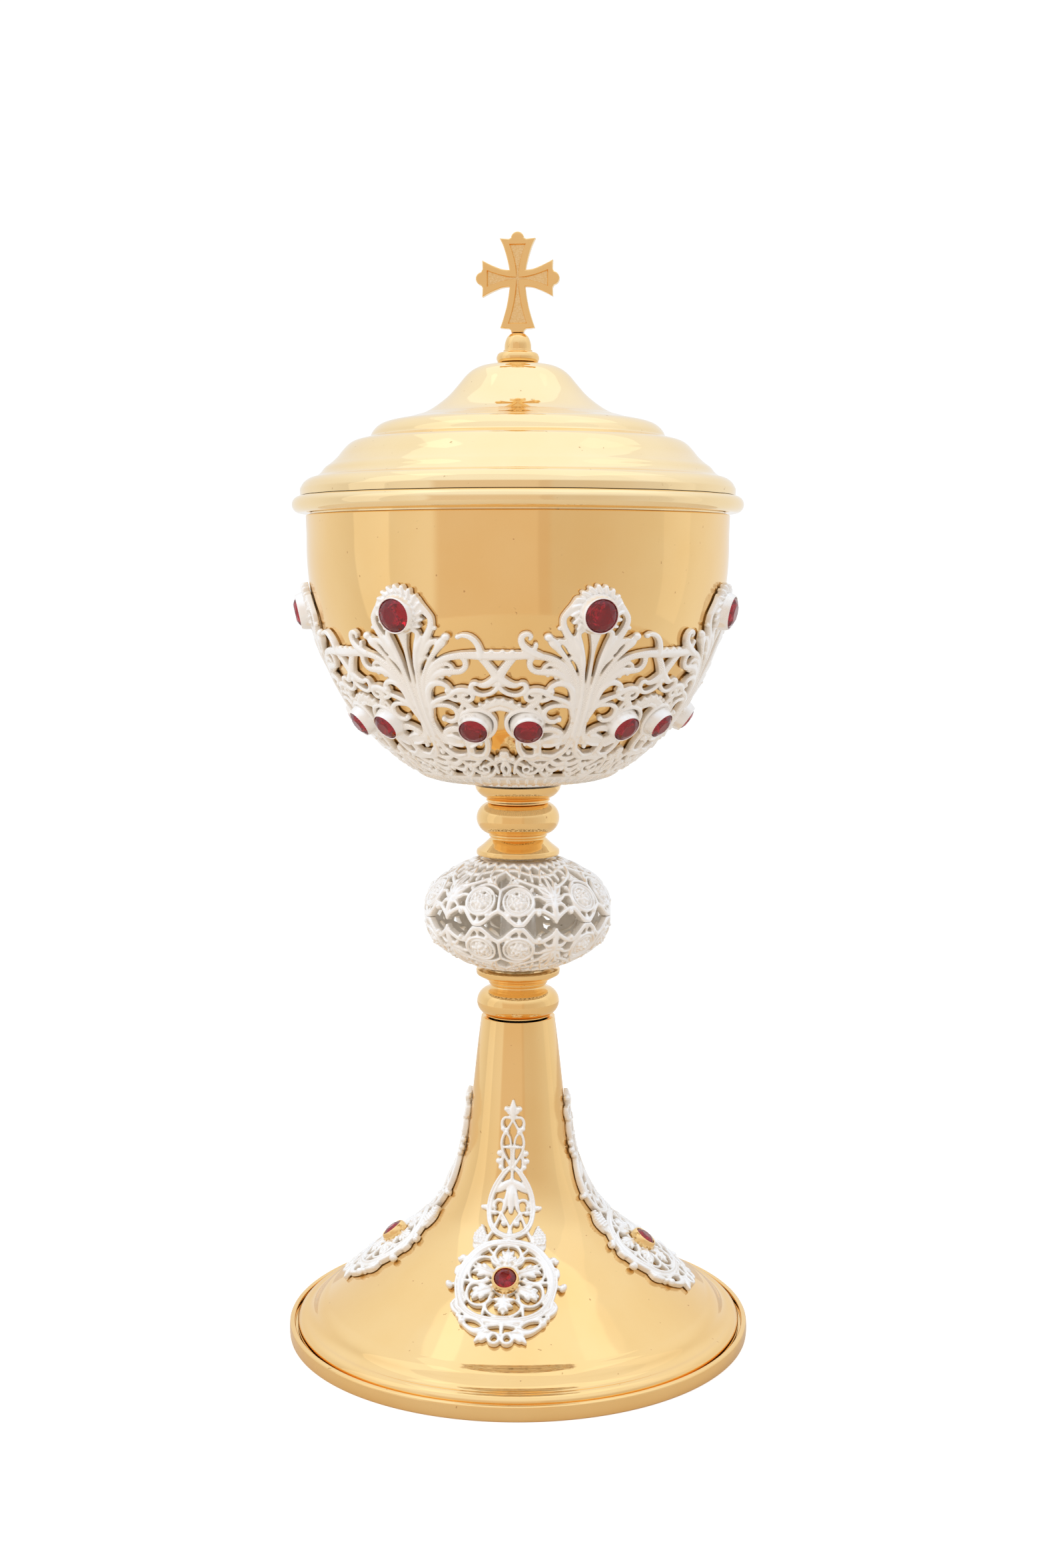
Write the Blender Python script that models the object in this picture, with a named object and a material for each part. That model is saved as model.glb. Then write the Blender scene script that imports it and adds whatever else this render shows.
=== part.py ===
"""A covered ciborium: a gilt cup and lid on a knopped stem and a bell foot, dressed in openwork castings.

Modelled in metres, +Z up, standing on z = 0 with its axis on Z. Lengths below are in millimetres and are
turned into metres where a mesh is made. Front is -Y: an azimuth is counted from -Y towards +X.
"""

from math import atan2, copysign, cos, degrees, hypot, pi, radians, sin, sqrt

import bmesh
import bpy
from mathutils import Matrix, Vector

MM = 0.001
GAP = 0.3  # air left between neighbouring pieces
WALL = 0.9  # thickness of the spun sheet metal

SIDES = 42  # facets of a large turned piece, six for each lobe of the cage
SMALL_SIDES = 24  # facets of a stem piece
STONE_SIDES = 8  # facets round a cut stone and its collet

# Foot
RING_RADIUS = 62.5
RING_HEIGHT = 4.3
RING_INNER_RADIUS = 56.5
RING_LEDGE = 2.6  # height of the ledge the bell stands on
BELL_LIP_RADIUS = 60.2
BELL_TOP_RADIUS = 9.9
BELL_TOP = 86.9
BELL_BENDS = [(58.3, 5.5), (49.6, 11.5), (38.6, 19.5), (27.9, 27.5), (20.6, 35.5), (14.6, 49.5), (12.0, 69.0)]

# Stem
ROD_RADIUS = 2.0
BORE_RADIUS = 2.4
LOWER_FLANGE_TOP = 99.9
KNOP_MIDDLE = 115.5
KNOP_RADIUS = 25.2
KNOP_CURVE_HEIGHT = 15.7  # half height of the full ellipse, which the flanges cut short
KNOP_HALF_HEIGHT = 15.0
KNOP_WALL = 1.6
KNOP_SEAM = 0.4  # distance of each half from the middle plane
KNOP_WINDOWS = 10
KNOP_COLUMNS = 3  # facets for each window and its strut, two of them the window
KNOP_ROWS = 5
UPPER_FLANGE_BOTTOM = 130.9
BEAD_RADIUS = 11.1
BOSS_BOTTOM = 145.5
BOSS_TOP = 149.7
WASHER_TOP = 151.3

# Cup and cage
CUP_RADIUS = 55.4
CUP_LIP = 220.9
CUP_CURVE_TOP = 212.5  # where the rounded bottom meets the straight wall
CUP_CURVE_HEIGHT = 65.0
CUP_BOTTOM = 153.9
LOBES = 7
CAGE_WALL = 1.6
CAGE_TOPS = {0: 203.0, 1: 192.5, 2: 186.5, 3: 185.5}  # rim height, by columns away from a lobe's middle
LARGE_STONE = {"height": 196.5, "girdle": 4.1, "collet": 5.7, "lift": 3.8}
SMALL_STONE = {"height": 169.6, "girdle": 3.5, "collet": 4.6, "lift": 3.6}
SMALL_STONE_SPREAD = 8.7  # degrees each side of the valley between two lobes

# Lid
LID_LIFT_GAP = GAP
BEAD_CENTRE = (56.9, 223.4)
BEAD_THICKNESS = 2.2
LID_SHELL_BOTTOM = 225.9
LID_TOP = 259.9
LID_LINE = [
    (56.9, 227.8), (55.8, 229.5), (52.6, 230.7), (50.5, 233.0), (47.2, 235.6), (43.6, 239.6), (39.3, 240.6),
    (37.3, 242.8), (35.0, 244.6), (29.3, 245.8), (23.0, 248.0), (13.7, 256.8), (9.9, 259.3),
]
KNOB_BOTTOM = 260.2
CROSS_MIDDLE = 281.7
CROSS_HALF_THICKNESS = 1.4
TANG_HALF_THICKNESS = 0.8
PIN_HEIGHT = 264.8

# Foot castings
CASTINGS = 4
CASTING_WALL = 1.6
# Half width of a casting and the height on the bell where it applies, from its foot to its leaf tip
CASTING_HALF_WIDTHS = [
    (9.0, 5.0), (11.0, 11.0), (14.5, 14.2), (19.0, 14.8), (24.0, 13.2), (28.0, 9.6), (33.0, 9.0), (37.0, 6.2),
    (43.0, 6.2), (49.0, 4.0), (57.0, 4.0), (64.0, 2.9), (68.0, 2.6), (71.5, 0.8),
]
MEDALLION_HEIGHT = 23.6
FOOT_STONE = {"girdle": 2.85, "collet": 3.7, "lift": 3.2}

GOLD = {"colour": (0.87, 0.63, 0.30, 1), "metallic": 1.0, "roughness": 0.12}
SILVER = {"colour": (0.90, 0.88, 0.85, 1), "metallic": 1.0, "roughness": 0.3}
RUBY = {"colour": (0.45, 0.01, 0.03, 1), "metallic": 0.0, "roughness": 0.05}
STEEL = {"colour": (0.55, 0.55, 0.55, 1), "metallic": 1.0, "roughness": 0.35}


def clear_scene():
    for old in list(bpy.data.objects):
        bpy.data.objects.remove(old, do_unlink=True)


def add_node(name, bm, look):
    """One sub-part: its mesh, its own material, smooth shading with crisp corners."""
    mesh = bpy.data.meshes.new(name)
    bm.to_mesh(mesh)
    bm.free()
    mesh.shade_smooth()
    mesh.set_sharp_from_angle(angle=radians(35))
    node = bpy.data.objects.new(name, mesh)
    bpy.context.scene.collection.objects.link(node)
    material = bpy.data.materials.new(name)
    material.use_nodes = True
    shader = material.node_tree.nodes["Principled BSDF"]
    shader.inputs["Base Color"].default_value = look["colour"]
    shader.inputs["Metallic"].default_value = look["metallic"]
    shader.inputs["Roughness"].default_value = look["roughness"]
    mesh.materials.append(material)
    return node


def arc(centre, radius, start, end, count):
    """Points on a circle in the turning plane, from one angle in degrees to another."""
    angles = [radians(start + (end - start) * i / (count - 1)) for i in range(count)]
    return [(centre[0] + radius * cos(a), centre[1] + radius * sin(a)) for a in angles]


def offset_line(line, distance):
    """The same line moved sideways, to the left of its direction."""
    moved = []
    for i, (r, z) in enumerate(line):
        before, after = line[max(i - 1, 0)], line[min(i + 1, len(line) - 1)]
        along_r, along_z = after[0] - before[0], after[1] - before[1]
        length = hypot(along_r, along_z)
        moved.append((r - along_z / length * distance, z + along_r / length * distance))
    return moved


def profile_wire(bm, line, closed):
    verts = [bm.verts.new((r * MM, 0, z * MM)) for r, z in line]
    edges = [bm.edges.new(pair) for pair in zip(verts, verts[1:])]
    if closed:
        edges.append(bm.edges.new((verts[-1], verts[0])))
    return verts + edges


def turned(name, line, look, sides=SIDES, closed=True):
    """A body turned on the Z axis. An open line starts and ends on the axis."""
    bm = bmesh.new()
    wire = profile_wire(bm, line, closed)
    bmesh.ops.spin(bm, geom=wire, axis=(0, 0, 1), cent=(0, 0, 0), angle=2 * pi, steps=sides, use_merge=True)
    bmesh.ops.remove_doubles(bm, verts=bm.verts, dist=1e-6)
    bmesh.ops.recalc_face_normals(bm, faces=bm.faces)
    return add_node(name, bm, look)


def tube(name, outer, inner, bottom, top, look, sides=SMALL_SIDES):
    line = [(inner, bottom), (outer, bottom), (outer, top), (inner, top)]
    return turned(name, line, look, sides)


def cylinder_tool(name, radius, length, place, sides=12):
    """A cutter: a cylinder along its own Z, centred on its place."""
    bm = bmesh.new()
    bmesh.ops.create_cone(
        bm, cap_ends=True, segments=sides, radius1=radius * MM, radius2=radius * MM, depth=length * MM, matrix=place
    )
    mesh = bpy.data.meshes.new(name)
    bm.to_mesh(mesh)
    bm.free()
    tool = bpy.data.objects.new(name, mesh)
    bpy.context.scene.collection.objects.link(tool)
    tool.hide_render = True
    tool.display_type = "WIRE"
    return tool


def combine(node, tool, operation):
    change = node.modifiers.new(tool.name, "BOOLEAN")
    change.operation = operation
    change.solver = "EXACT"
    change.object = tool


def frame_on(azimuth, radius, height, tilt):
    """A frame at a point of a turned surface: local Z is outward, raised by tilt in degrees."""
    turn = Matrix.Rotation(radians(azimuth), 4, "Z")
    place = Matrix.Translation((0, -radius * MM, height * MM))
    return turn @ place @ Matrix.Rotation(radians(90 - tilt), 4, "X")


# ---------------------------------------------------------------- foot


def bell_line():
    return [(BELL_LIP_RADIUS, RING_LEDGE + GAP), (BELL_LIP_RADIUS, RING_HEIGHT)] + BELL_BENDS + [
        (BELL_TOP_RADIUS, BELL_TOP)
    ]


def bell_at(height):
    """Radius of the bell and the tilt of its outward direction at a height."""
    line = bell_line()[1:]
    for (r0, z0), (r1, z1) in zip(line, line[1:]):
        if z0 <= height <= z1:
            share = (height - z0) / (z1 - z0)
            return r0 + (r1 - r0) * share, degrees(atan2(r0 - r1, z1 - z0))
    return line[-1][0], 0.0


def make_foot():
    rim = arc((RING_RADIUS - 1.0, 1.0), 1.0, -90, 0, 3) + arc((RING_RADIUS - 0.8, RING_HEIGHT - 0.8), 0.8, 0, 90, 3)
    ledge = [
        (BELL_LIP_RADIUS + 0.8, RING_HEIGHT), (BELL_LIP_RADIUS + 0.8, RING_LEDGE), (RING_INNER_RADIUS, RING_LEDGE)
    ]
    turned("base_ring", [(RING_INNER_RADIUS, 0)] + rim + ledge, GOLD)

    outer = bell_line()
    inner = offset_line(outer, WALL)
    inner[0] = (BELL_LIP_RADIUS - WALL, outer[0][1])
    inner[-1] = (BELL_TOP_RADIUS - WALL, BELL_TOP - WALL)
    turned("foot_bell", outer + [(BORE_RADIUS, BELL_TOP), (BORE_RADIUS, BELL_TOP - WALL)] + inner[::-1], GOLD)


def make_casting(number, azimuth):
    """A long plate that lies on the bell, as wide as its half widths say, with a seat for the collet."""
    bm = bmesh.new()
    rows = []
    for height, half_width in CASTING_HALF_WIDTHS:
        radius, tilt = bell_at(height)
        lift = GAP + 0.15 + CASTING_WALL
        out, up = cos(radians(tilt)) * lift, sin(radians(tilt)) * lift
        row = []
        for column in (-1, -0.5, 0, 0.5, 1):
            turn = radians(azimuth) + column * half_width / radius
            place = Vector(((radius + out) * sin(turn), -(radius + out) * cos(turn), height + up))
            row.append(bm.verts.new(place * MM))
        rows.append(row)
    for lower, upper in zip(rows, rows[1:]):
        for i in range(len(lower) - 1):
            bm.faces.new((lower[i], lower[i + 1], upper[i + 1], upper[i]))
    casting = add_node(f"foot_applique_{number}", bm, SILVER)
    thicken = casting.modifiers.new("Wall", "SOLIDIFY")
    thicken.thickness = CASTING_WALL * MM
    thicken.offset = -1
    radius, tilt = bell_at(MEDALLION_HEIGHT)
    place = frame_on(azimuth, radius, MEDALLION_HEIGHT, tilt)
    seat = cylinder_tool(f"collet_seat_{number}", FOOT_STONE["collet"] + GAP, 12, place)
    combine(casting, seat, "DIFFERENCE")


def turned_at(name, line, look, place, sides=STONE_SIDES, closed=True):
    node = turned(name, line, look, sides, closed)
    node.data.transform(place)
    return node


def stone_line(girdle, floor, lift):
    """A cut stone on its own axis: flat back, girdle, crown and table."""
    return [
        (0, floor), (girdle * 0.55, floor), (girdle, lift), (girdle * 0.58, lift + 0.32 * girdle),
        (0, lift + 0.32 * girdle),
    ]


def make_foot_castings():
    collet, girdle, lift = FOOT_STONE["collet"], FOOT_STONE["girdle"], FOOT_STONE["lift"]
    radius, tilt = bell_at(MEDALLION_HEIGHT)
    for number in range(1, CASTINGS + 1):
        azimuth = 360 * (number - 1) / CASTINGS
        make_casting(number, azimuth)
        place = frame_on(azimuth, radius, MEDALLION_HEIGHT, tilt)
        cup = [
            (0, 0.4), (collet, 0.4), (collet, lift + 0.3), (girdle + GAP, lift + 0.3), (girdle + GAP, 1.0), (0, 1.0)
        ]
        turned_at(f"foot_collet_{number}", cup, GOLD, place, closed=False)
        turned_at(f"foot_stone_{number}", stone_line(girdle, 1.0 + GAP, lift), RUBY, place, closed=False)


# ---------------------------------------------------------------- stem


def make_collars():
    lower_bottom = BELL_TOP + GAP
    lower = [(BORE_RADIUS, lower_bottom), (8.6, lower_bottom)]
    lower += arc((BEAD_RADIUS - 3.8, lower_bottom + 3.8), 3.8, -70, 75, 6)
    lower += [(7.3, 95.4), (7.9, 96.1), (8.6, 97.1), (11.2, 98.6), (11.3, LOWER_FLANGE_TOP)]
    turned("lower_collar", lower + [(BORE_RADIUS, LOWER_FLANGE_TOP)], GOLD, SMALL_SIDES)

    base = UPPER_FLANGE_BOTTOM
    upper = [(BORE_RADIUS, base), (11.1, base), (11.1, base + 1.3), (9.0, base + 3.0), (7.3, base + 4.6)]
    upper += [(7.8, base + 5.4)] + arc((BEAD_RADIUS - 3.9, base + 9.7), 3.9, -75, 70, 6)
    upper += [(8.6, BOSS_BOTTOM - GAP), (BORE_RADIUS, BOSS_BOTTOM - GAP)]
    turned("upper_collar", upper, GOLD, SMALL_SIDES)


def make_knop_half(name, way):
    """Half of the pierced knop: way is 1 above the middle and -1 below it, where the windows are cut."""
    columns = KNOP_WINDOWS * KNOP_COLUMNS
    depths = [KNOP_HALF_HEIGHT - (KNOP_HALF_HEIGHT - KNOP_SEAM) * i / KNOP_ROWS for i in range(KNOP_ROWS + 1)]
    line = [(6.7, KNOP_HALF_HEIGHT)]
    line += [(KNOP_RADIUS * sqrt(1 - (d / KNOP_CURVE_HEIGHT) ** 2), d) for d in depths]
    bm = bmesh.new()
    rings = []
    for r, depth in line:
        turns = [2 * pi * i / columns for i in range(columns)]
        height = KNOP_MIDDLE + way * depth
        rings.append([bm.verts.new((r * MM * sin(t), -r * MM * cos(t), height * MM)) for t in turns])
    for row, (far, near) in enumerate(zip(rings, rings[1:])):
        for i in range(columns):
            if row == KNOP_ROWS and i % KNOP_COLUMNS:
                continue
            j = (i + 1) % columns
            bm.faces.new((far[i], far[j], near[j], near[i]))
    bmesh.ops.recalc_face_normals(bm, faces=bm.faces)
    half = add_node(name, bm, SILVER)
    outward = sum((f.normal.dot(Vector((f.center.x, f.center.y, 0))) for f in half.data.polygons), 0.0)
    thicken = half.modifiers.new("Wall", "SOLIDIFY")
    thicken.thickness = KNOP_WALL * MM
    thicken.offset = -1 if outward > 0 else 1


def make_stem():
    make_collars()
    make_knop_half("knop_lower", -1)
    make_knop_half("knop_upper", 1)
    tube("knop_core", 4.8, BORE_RADIUS, LOWER_FLANGE_TOP + GAP, UPPER_FLANGE_BOTTOM - GAP, SILVER, 20)
    boss = [
        (BORE_RADIUS, BOSS_BOTTOM), (8.7, BOSS_BOTTOM), (9.7, 146.6), (10.6, 147.9), (BEAD_RADIUS, BOSS_TOP),
        (BORE_RADIUS, BOSS_TOP),
    ]
    turned("bowl_boss", boss, GOLD, SMALL_SIDES)
    tube("cage_washer", 11.5, BORE_RADIUS, BOSS_TOP + GAP, WASHER_TOP, SILVER)


def make_clamp():
    washer_top = BELL_TOP - WALL - GAP
    nut_top = washer_top - 1.2 - GAP
    tube("clamp_washer", 7.0, BORE_RADIUS, washer_top - 1.2, washer_top, STEEL, 20)
    nut_line = [(BORE_RADIUS, nut_top - 3.6), (4.6, nut_top - 3.6), (4.6, nut_top), (BORE_RADIUS, nut_top)]
    turned("clamp_nut", nut_line, STEEL, 6)
    rod = [(0, nut_top - 6.0), (ROD_RADIUS, nut_top - 6.0), (ROD_RADIUS, CUP_BOTTOM - GAP), (0, CUP_BOTTOM - GAP)]
    turned("tie_rod", rod, STEEL, 16, closed=False)


# ---------------------------------------------------------------- cup and its cage


def cup_at(height):
    """Radius of the cup and the tilt of its outward direction, in degrees, at a height."""
    drop = max(CUP_CURVE_TOP - height, 0.0) / CUP_CURVE_HEIGHT
    radius = CUP_RADIUS * sqrt(1 - drop * drop)
    return radius, -degrees(atan2(drop / CUP_CURVE_HEIGHT, radius / CUP_RADIUS**2))


def make_cup():
    steps = 8
    heights = [CUP_BOTTOM + (CUP_CURVE_TOP - CUP_BOTTOM) * (i / steps) ** 1.25 for i in range(steps + 1)]
    outer = [(cup_at(z)[0], z) for z in heights] + [(CUP_RADIUS + 0.1, CUP_LIP)]
    inner = offset_line(outer, WALL)
    inner[0] = (outer[0][0] - 1.2, CUP_BOTTOM + WALL)
    inner[-1] = (CUP_RADIUS - WALL, CUP_LIP)
    turned("bowl", [(0, CUP_BOTTOM)] + outer + inner[::-1] + [(0, CUP_BOTTOM + WALL)], GOLD, closed=False)


def cage_ring(heights, lift):
    """One ring of points, a height for each column, at a distance off the cup."""
    ring = []
    for column, height in enumerate(heights):
        radius, tilt = cup_at(height)
        radius += lift * cos(radians(tilt))
        turn = 2 * pi * column / SIDES
        ring.append((radius * sin(turn), -radius * cos(turn), height + lift * sin(radians(tilt))))
    return ring


def make_cage():
    """The openwork cage around the cup: a floor under it, seven lobes, and a collet for every stone."""
    lift = GAP + 0.45 + CAGE_WALL
    per_lobe = SIDES // LOBES
    tops = [CAGE_TOPS[abs(per_lobe // 2 - column % per_lobe)] for column in range(SIDES)]
    floor = CUP_BOTTOM - lift
    rings = []
    for radius in (3.2, 14.0, cup_at(CUP_BOTTOM)[0] + 1.0):
        turns = [2 * pi * i / SIDES for i in range(SIDES)]
        rings.append([(radius * sin(t), -radius * cos(t), floor) for t in turns])
    levels = 7
    start = CUP_BOTTOM + 0.9
    for level in range(levels):
        share = (level / (levels - 1)) ** 1.15
        rings.append(cage_ring([start + (top - start) * share for top in tops], lift))
    bm = bmesh.new()
    rows = [[bm.verts.new(Vector(p) * MM) for p in ring] for ring in rings]
    for row, (lower, upper) in enumerate(zip(rows, rows[1:])):
        for i in range(SIDES):
            beside_valley = i % per_lobe in (1, per_lobe - 2)
            if row == 7 and beside_valley:
                continue
            j = (i + 1) % SIDES
            bm.faces.new((lower[i], lower[j], upper[j], upper[i]))
    cage = add_node("bowl_cage", bm, SILVER)
    thicken = cage.modifiers.new("Wall", "SOLIDIFY")
    thicken.thickness = CAGE_WALL * MM
    thicken.offset = -1
    thicken.use_even_offset = True
    for kind, stone in (("large", LARGE_STONE), ("small", SMALL_STONE)):
        studs, pockets = bmesh.new(), bmesh.new()
        for place in stone_places(kind):
            for bm_tool, radius, low, high in (
                (studs, stone["collet"], GAP + 0.3, stone["lift"] + 0.3),
                (pockets, stone["girdle"] + GAP, 1.0, stone["lift"] + 3.0),
            ):
                shift = place @ Matrix.Translation((0, 0, (low + high) / 2 * MM))
                bmesh.ops.create_cone(
                    bm_tool, cap_ends=True, segments=STONE_SIDES, radius1=radius * MM, radius2=radius * MM,
                    depth=(high - low) * MM, matrix=shift,
                )
        for tool_name, bm_tool, operation in (
            (f"{kind}_collets", studs, "UNION"), (f"{kind}_pockets", pockets, "DIFFERENCE")
        ):
            mesh = bpy.data.meshes.new(tool_name)
            bm_tool.to_mesh(mesh)
            bm_tool.free()
            tool = bpy.data.objects.new(tool_name, mesh)
            bpy.context.scene.collection.objects.link(tool)
            tool.hide_render = True
            tool.display_type = "WIRE"
            combine(cage, tool, operation)


def stone_places(kind):
    stone = LARGE_STONE if kind == "large" else SMALL_STONE
    radius, tilt = cup_at(stone["height"])
    places = []
    for lobe in range(LOBES):
        valley = 360 * lobe / LOBES
        if kind == "large":
            azimuths = [valley + 180 / LOBES]
        else:
            azimuths = [valley - SMALL_STONE_SPREAD, valley + SMALL_STONE_SPREAD]
        places += [frame_on(azimuth, radius, stone["height"], tilt) for azimuth in azimuths]
    return places


def make_cup_stones():
    for kind, stone in (("large", LARGE_STONE), ("small", SMALL_STONE)):
        for number, place in enumerate(stone_places(kind), 1):
            line = stone_line(stone["girdle"], 1.0 + GAP, stone["lift"])
            turned_at(f"{kind}_stone_{number}", line, RUBY, place, closed=False)


# ---------------------------------------------------------------- lid


def make_lid():
    centre_r, centre_z = BEAD_CENTRE
    guide_inner, guide_outer = CUP_RADIUS - WALL - 1.6, CUP_RADIUS - WALL - 0.4
    seat = CUP_LIP + LID_LIFT_GAP
    rim = [(guide_inner, seat - 5.5), (guide_outer, seat - 5.5), (guide_outer, seat)]
    rim += arc(BEAD_CENTRE, BEAD_THICKNESS, -90, 90, 7)
    rim += [(guide_inner, centre_z + BEAD_THICKNESS)]
    turned("lid_rim", rim, GOLD)

    outer = [(centre_r, LID_SHELL_BOTTOM)] + LID_LINE
    inner = offset_line(outer, WALL)
    inner[0] = (centre_r - WALL, LID_SHELL_BOTTOM)
    top = [(2.1, LID_TOP), (2.1, LID_TOP - WALL)]
    turned("lid_shell", outer + top + inner[::-1], GOLD)


def make_knob():
    """The finial knob: a bead and a bell, with a stud below for the nut and a blind hole above for the cross."""
    line = [(0, LID_TOP - 7.0), (1.8, LID_TOP - 7.0), (1.8, KNOB_BOTTOM), (5.0, KNOB_BOTTOM)]
    line += arc((4.3, KNOB_BOTTOM + 1.4), 1.35, -45, 75, 5)
    line += [(3.75, 263.1), (3.45, 263.5), (3.4, 265.2), (2.9, 266.7), (1.9, 267.7)]
    line += [(1.3, 267.7), (1.3, 263.0), (0, 263.0)]
    knob = turned("finial_knob", line, GOLD, 16, closed=False)
    pin_place = Matrix.Translation((0, 0, PIN_HEIGHT * MM)) @ Matrix.Rotation(pi / 2, 4, "X")
    combine(knob, cylinder_tool("pin_hole", 0.75, 12, pin_place), "DIFFERENCE")
    nut_top = LID_TOP - WALL - GAP
    nut_line = [(2.1, nut_top - 3.0), (4.2, nut_top - 3.0), (4.2, nut_top), (2.1, nut_top)]
    turned("finial_nut", nut_line, GOLD, 6)
    pin_line = [(0, -3.6), (0.45, -3.6), (0.45, 3.6), (0, 3.6)]
    turned_at("cross_pin", pin_line, GOLD, pin_place, 10, closed=False)


def cross_outline():
    """Half the cross's outline, from the middle of its head round the right arm to its tang, as (x, z)."""
    right = arc((0, 10.1), 1.7, 90, 0, 4)
    right += [(4.6, 10.1), (3.0, 6.5), (2.1, 2.1), (5.2, 2.7), (9.2, 4.6), (9.2, 1.7)]
    right += arc((9.2, 0), 1.7, 60, -60, 4)
    right += [(9.2, -1.7), (9.2, -4.6), (5.2, -2.7), (1.9, -2.1), (2.8, -7.0), (4.5, -12.6), (2.4, -12.6)]
    right += [(1.6, -13.7), (0.9, -13.7), (0.9, -18.2)]
    return right


def make_cross():
    half = cross_outline()
    outline = half + [(-x, z) for x, z in reversed(half) if x > 1e-6]
    bm = bmesh.new()
    back = CROSS_HALF_THICKNESS
    verts = [bm.verts.new((x * MM, back * MM, (CROSS_MIDDLE + z) * MM)) for x, z in outline]
    face = bm.faces.new(verts)
    grown = bmesh.ops.extrude_face_region(bm, geom=[face])["geom"]
    front = [v for v in grown if isinstance(v, bmesh.types.BMVert)]
    bmesh.ops.translate(bm, verts=front, vec=(0, -2 * back * MM, 0))
    for vert in bm.verts:  # the tang is thinner than the arms
        if vert.co.z < (CROSS_MIDDLE - 13.0) * MM:
            vert.co.y = copysign(TANG_HALF_THICKNESS * MM, vert.co.y)
    bmesh.ops.recalc_face_normals(bm, faces=bm.faces)
    cross = add_node("cross", bm, GOLD)
    pin_place = Matrix.Translation((0, 0, PIN_HEIGHT * MM)) @ Matrix.Rotation(pi / 2, 4, "X")
    combine(cross, cylinder_tool("tang_hole", 0.75, 12, pin_place, 8), "DIFFERENCE")


def main():
    clear_scene()
    make_foot()
    make_foot_castings()
    make_stem()
    make_clamp()
    make_cup()
    make_cage()
    make_cup_stones()
    make_lid()
    make_knob()
    make_cross()


main()
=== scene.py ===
from math import atan2, copysign, cos, hypot, pi, radians, sin, sqrt

import bmesh
import bpy
import numpy as np
from mathutils import Matrix, Vector


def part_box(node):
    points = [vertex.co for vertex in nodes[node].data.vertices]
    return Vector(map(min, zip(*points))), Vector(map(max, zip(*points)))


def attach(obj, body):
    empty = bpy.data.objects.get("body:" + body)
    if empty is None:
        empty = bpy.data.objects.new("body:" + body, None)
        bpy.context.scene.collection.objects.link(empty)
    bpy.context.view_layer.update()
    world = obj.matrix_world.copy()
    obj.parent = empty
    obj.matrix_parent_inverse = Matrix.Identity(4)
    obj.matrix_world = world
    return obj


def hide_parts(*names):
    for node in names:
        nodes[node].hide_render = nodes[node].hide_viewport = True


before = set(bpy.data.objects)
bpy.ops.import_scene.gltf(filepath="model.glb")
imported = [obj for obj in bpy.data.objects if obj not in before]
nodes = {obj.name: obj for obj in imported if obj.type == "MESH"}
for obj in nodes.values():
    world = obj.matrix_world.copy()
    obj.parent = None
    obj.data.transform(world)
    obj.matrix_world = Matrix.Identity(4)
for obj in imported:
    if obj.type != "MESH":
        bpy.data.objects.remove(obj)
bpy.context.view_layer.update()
mm = 0.001  # drawn in millimetres
print("frame loaded:", len(nodes), "nodes")


# finishes

class Wire:  # an output socket that can take part in sums
    def __init__(self, look, socket):
        self.look = look
        self.socket = socket

    def math(self, operation, *values):
        return self.look.node("ShaderNodeMath", {"operation": operation}, *values)

    def __add__(self, other):
        return self.math("ADD", self, other)

    def __sub__(self, other):
        return self.math("SUBTRACT", self, other)

    def __rsub__(self, other):
        return self.math("SUBTRACT", other, self)

    def __mul__(self, other):
        return self.math("MULTIPLY", self, other)

    def between(self, low, high):  # 0 at low, 1 at high
        return self.look.node("ShaderNodeMapRange", {"clamp": True}, self, low, high, 0.0, 1.0)

    __radd__ = __add__
    __rmul__ = __mul__


class Look:  # a material and the one way that nodes are added to it
    def __init__(self, name, **constants):
        self.material = bpy.data.materials.new(name)
        self.material.use_nodes = True
        self.tree = self.material.node_tree
        self.shader = self.tree.nodes["Principled BSDF"]
        for socketName, value in constants.items():
            self.set(socketName.replace("_", " "), value)

    def set(self, socketName, value):
        self.join(self.shader.inputs[socketName], value)

    def join(self, socket, value):
        if isinstance(value, Wire):
            self.tree.links.new(value.socket, socket)
        elif value is not None:
            socket.default_value = value

    def node(self, kind, settings=None, *values, out=0, **named):
        made = self.tree.nodes.new(kind)
        for setting, value in (settings or {}).items():
            setattr(made, setting, value)
        for socket, value in zip(made.inputs, values):
            self.join(socket, value)
        for socketName, value in named.items():
            self.join(made.inputs[socketName.replace("_", " ")], value)
        return Wire(self, made.outputs[out])

    def place(self, scale=(1, 1, 1)):
        spot = self.node("ShaderNodeTexCoord", out="Object")
        return self.node("ShaderNodeMapping", {}, Vector=spot, Scale=scale)

    def noise(self, size, detail=3.0, roughness=0.5, scale=(1, 1, 1)):  # size in millimetres
        return self.node(
            "ShaderNodeTexNoise", {}, Vector=self.place(scale), Scale=1 / (size * mm), Detail=detail,
            Roughness=roughness
        )

    def blend(self, share, first, second):
        made = self.tree.nodes.new("ShaderNodeMix")
        made.data_type = "RGBA"
        for socket, value in zip((made.inputs[0], made.inputs[6], made.inputs[7]), (share, first, second)):
            self.join(socket, value)
        return Wire(self, made.outputs[2])

    def bump(self, height, distance, strength=1.0):
        return self.node("ShaderNodeBump", {}, Strength=strength, Distance=distance * mm, Height=height)


gilding = {
    "bright": (0.945, 0.66, 0.305, 1),
    "deep": (0.925, 0.615, 0.255, 1),
    "speck": (0.40, 0.20, 0.07, 1),
}
# painted light: a paler, brighter copy of the gilding for the lid, standing in for the stronger light and
# washed-out highlights on it
litGildingTones = dict(gilding, bright=(0.96, 0.755, 0.435, 1), deep=(0.945, 0.72, 0.385, 1))


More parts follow.
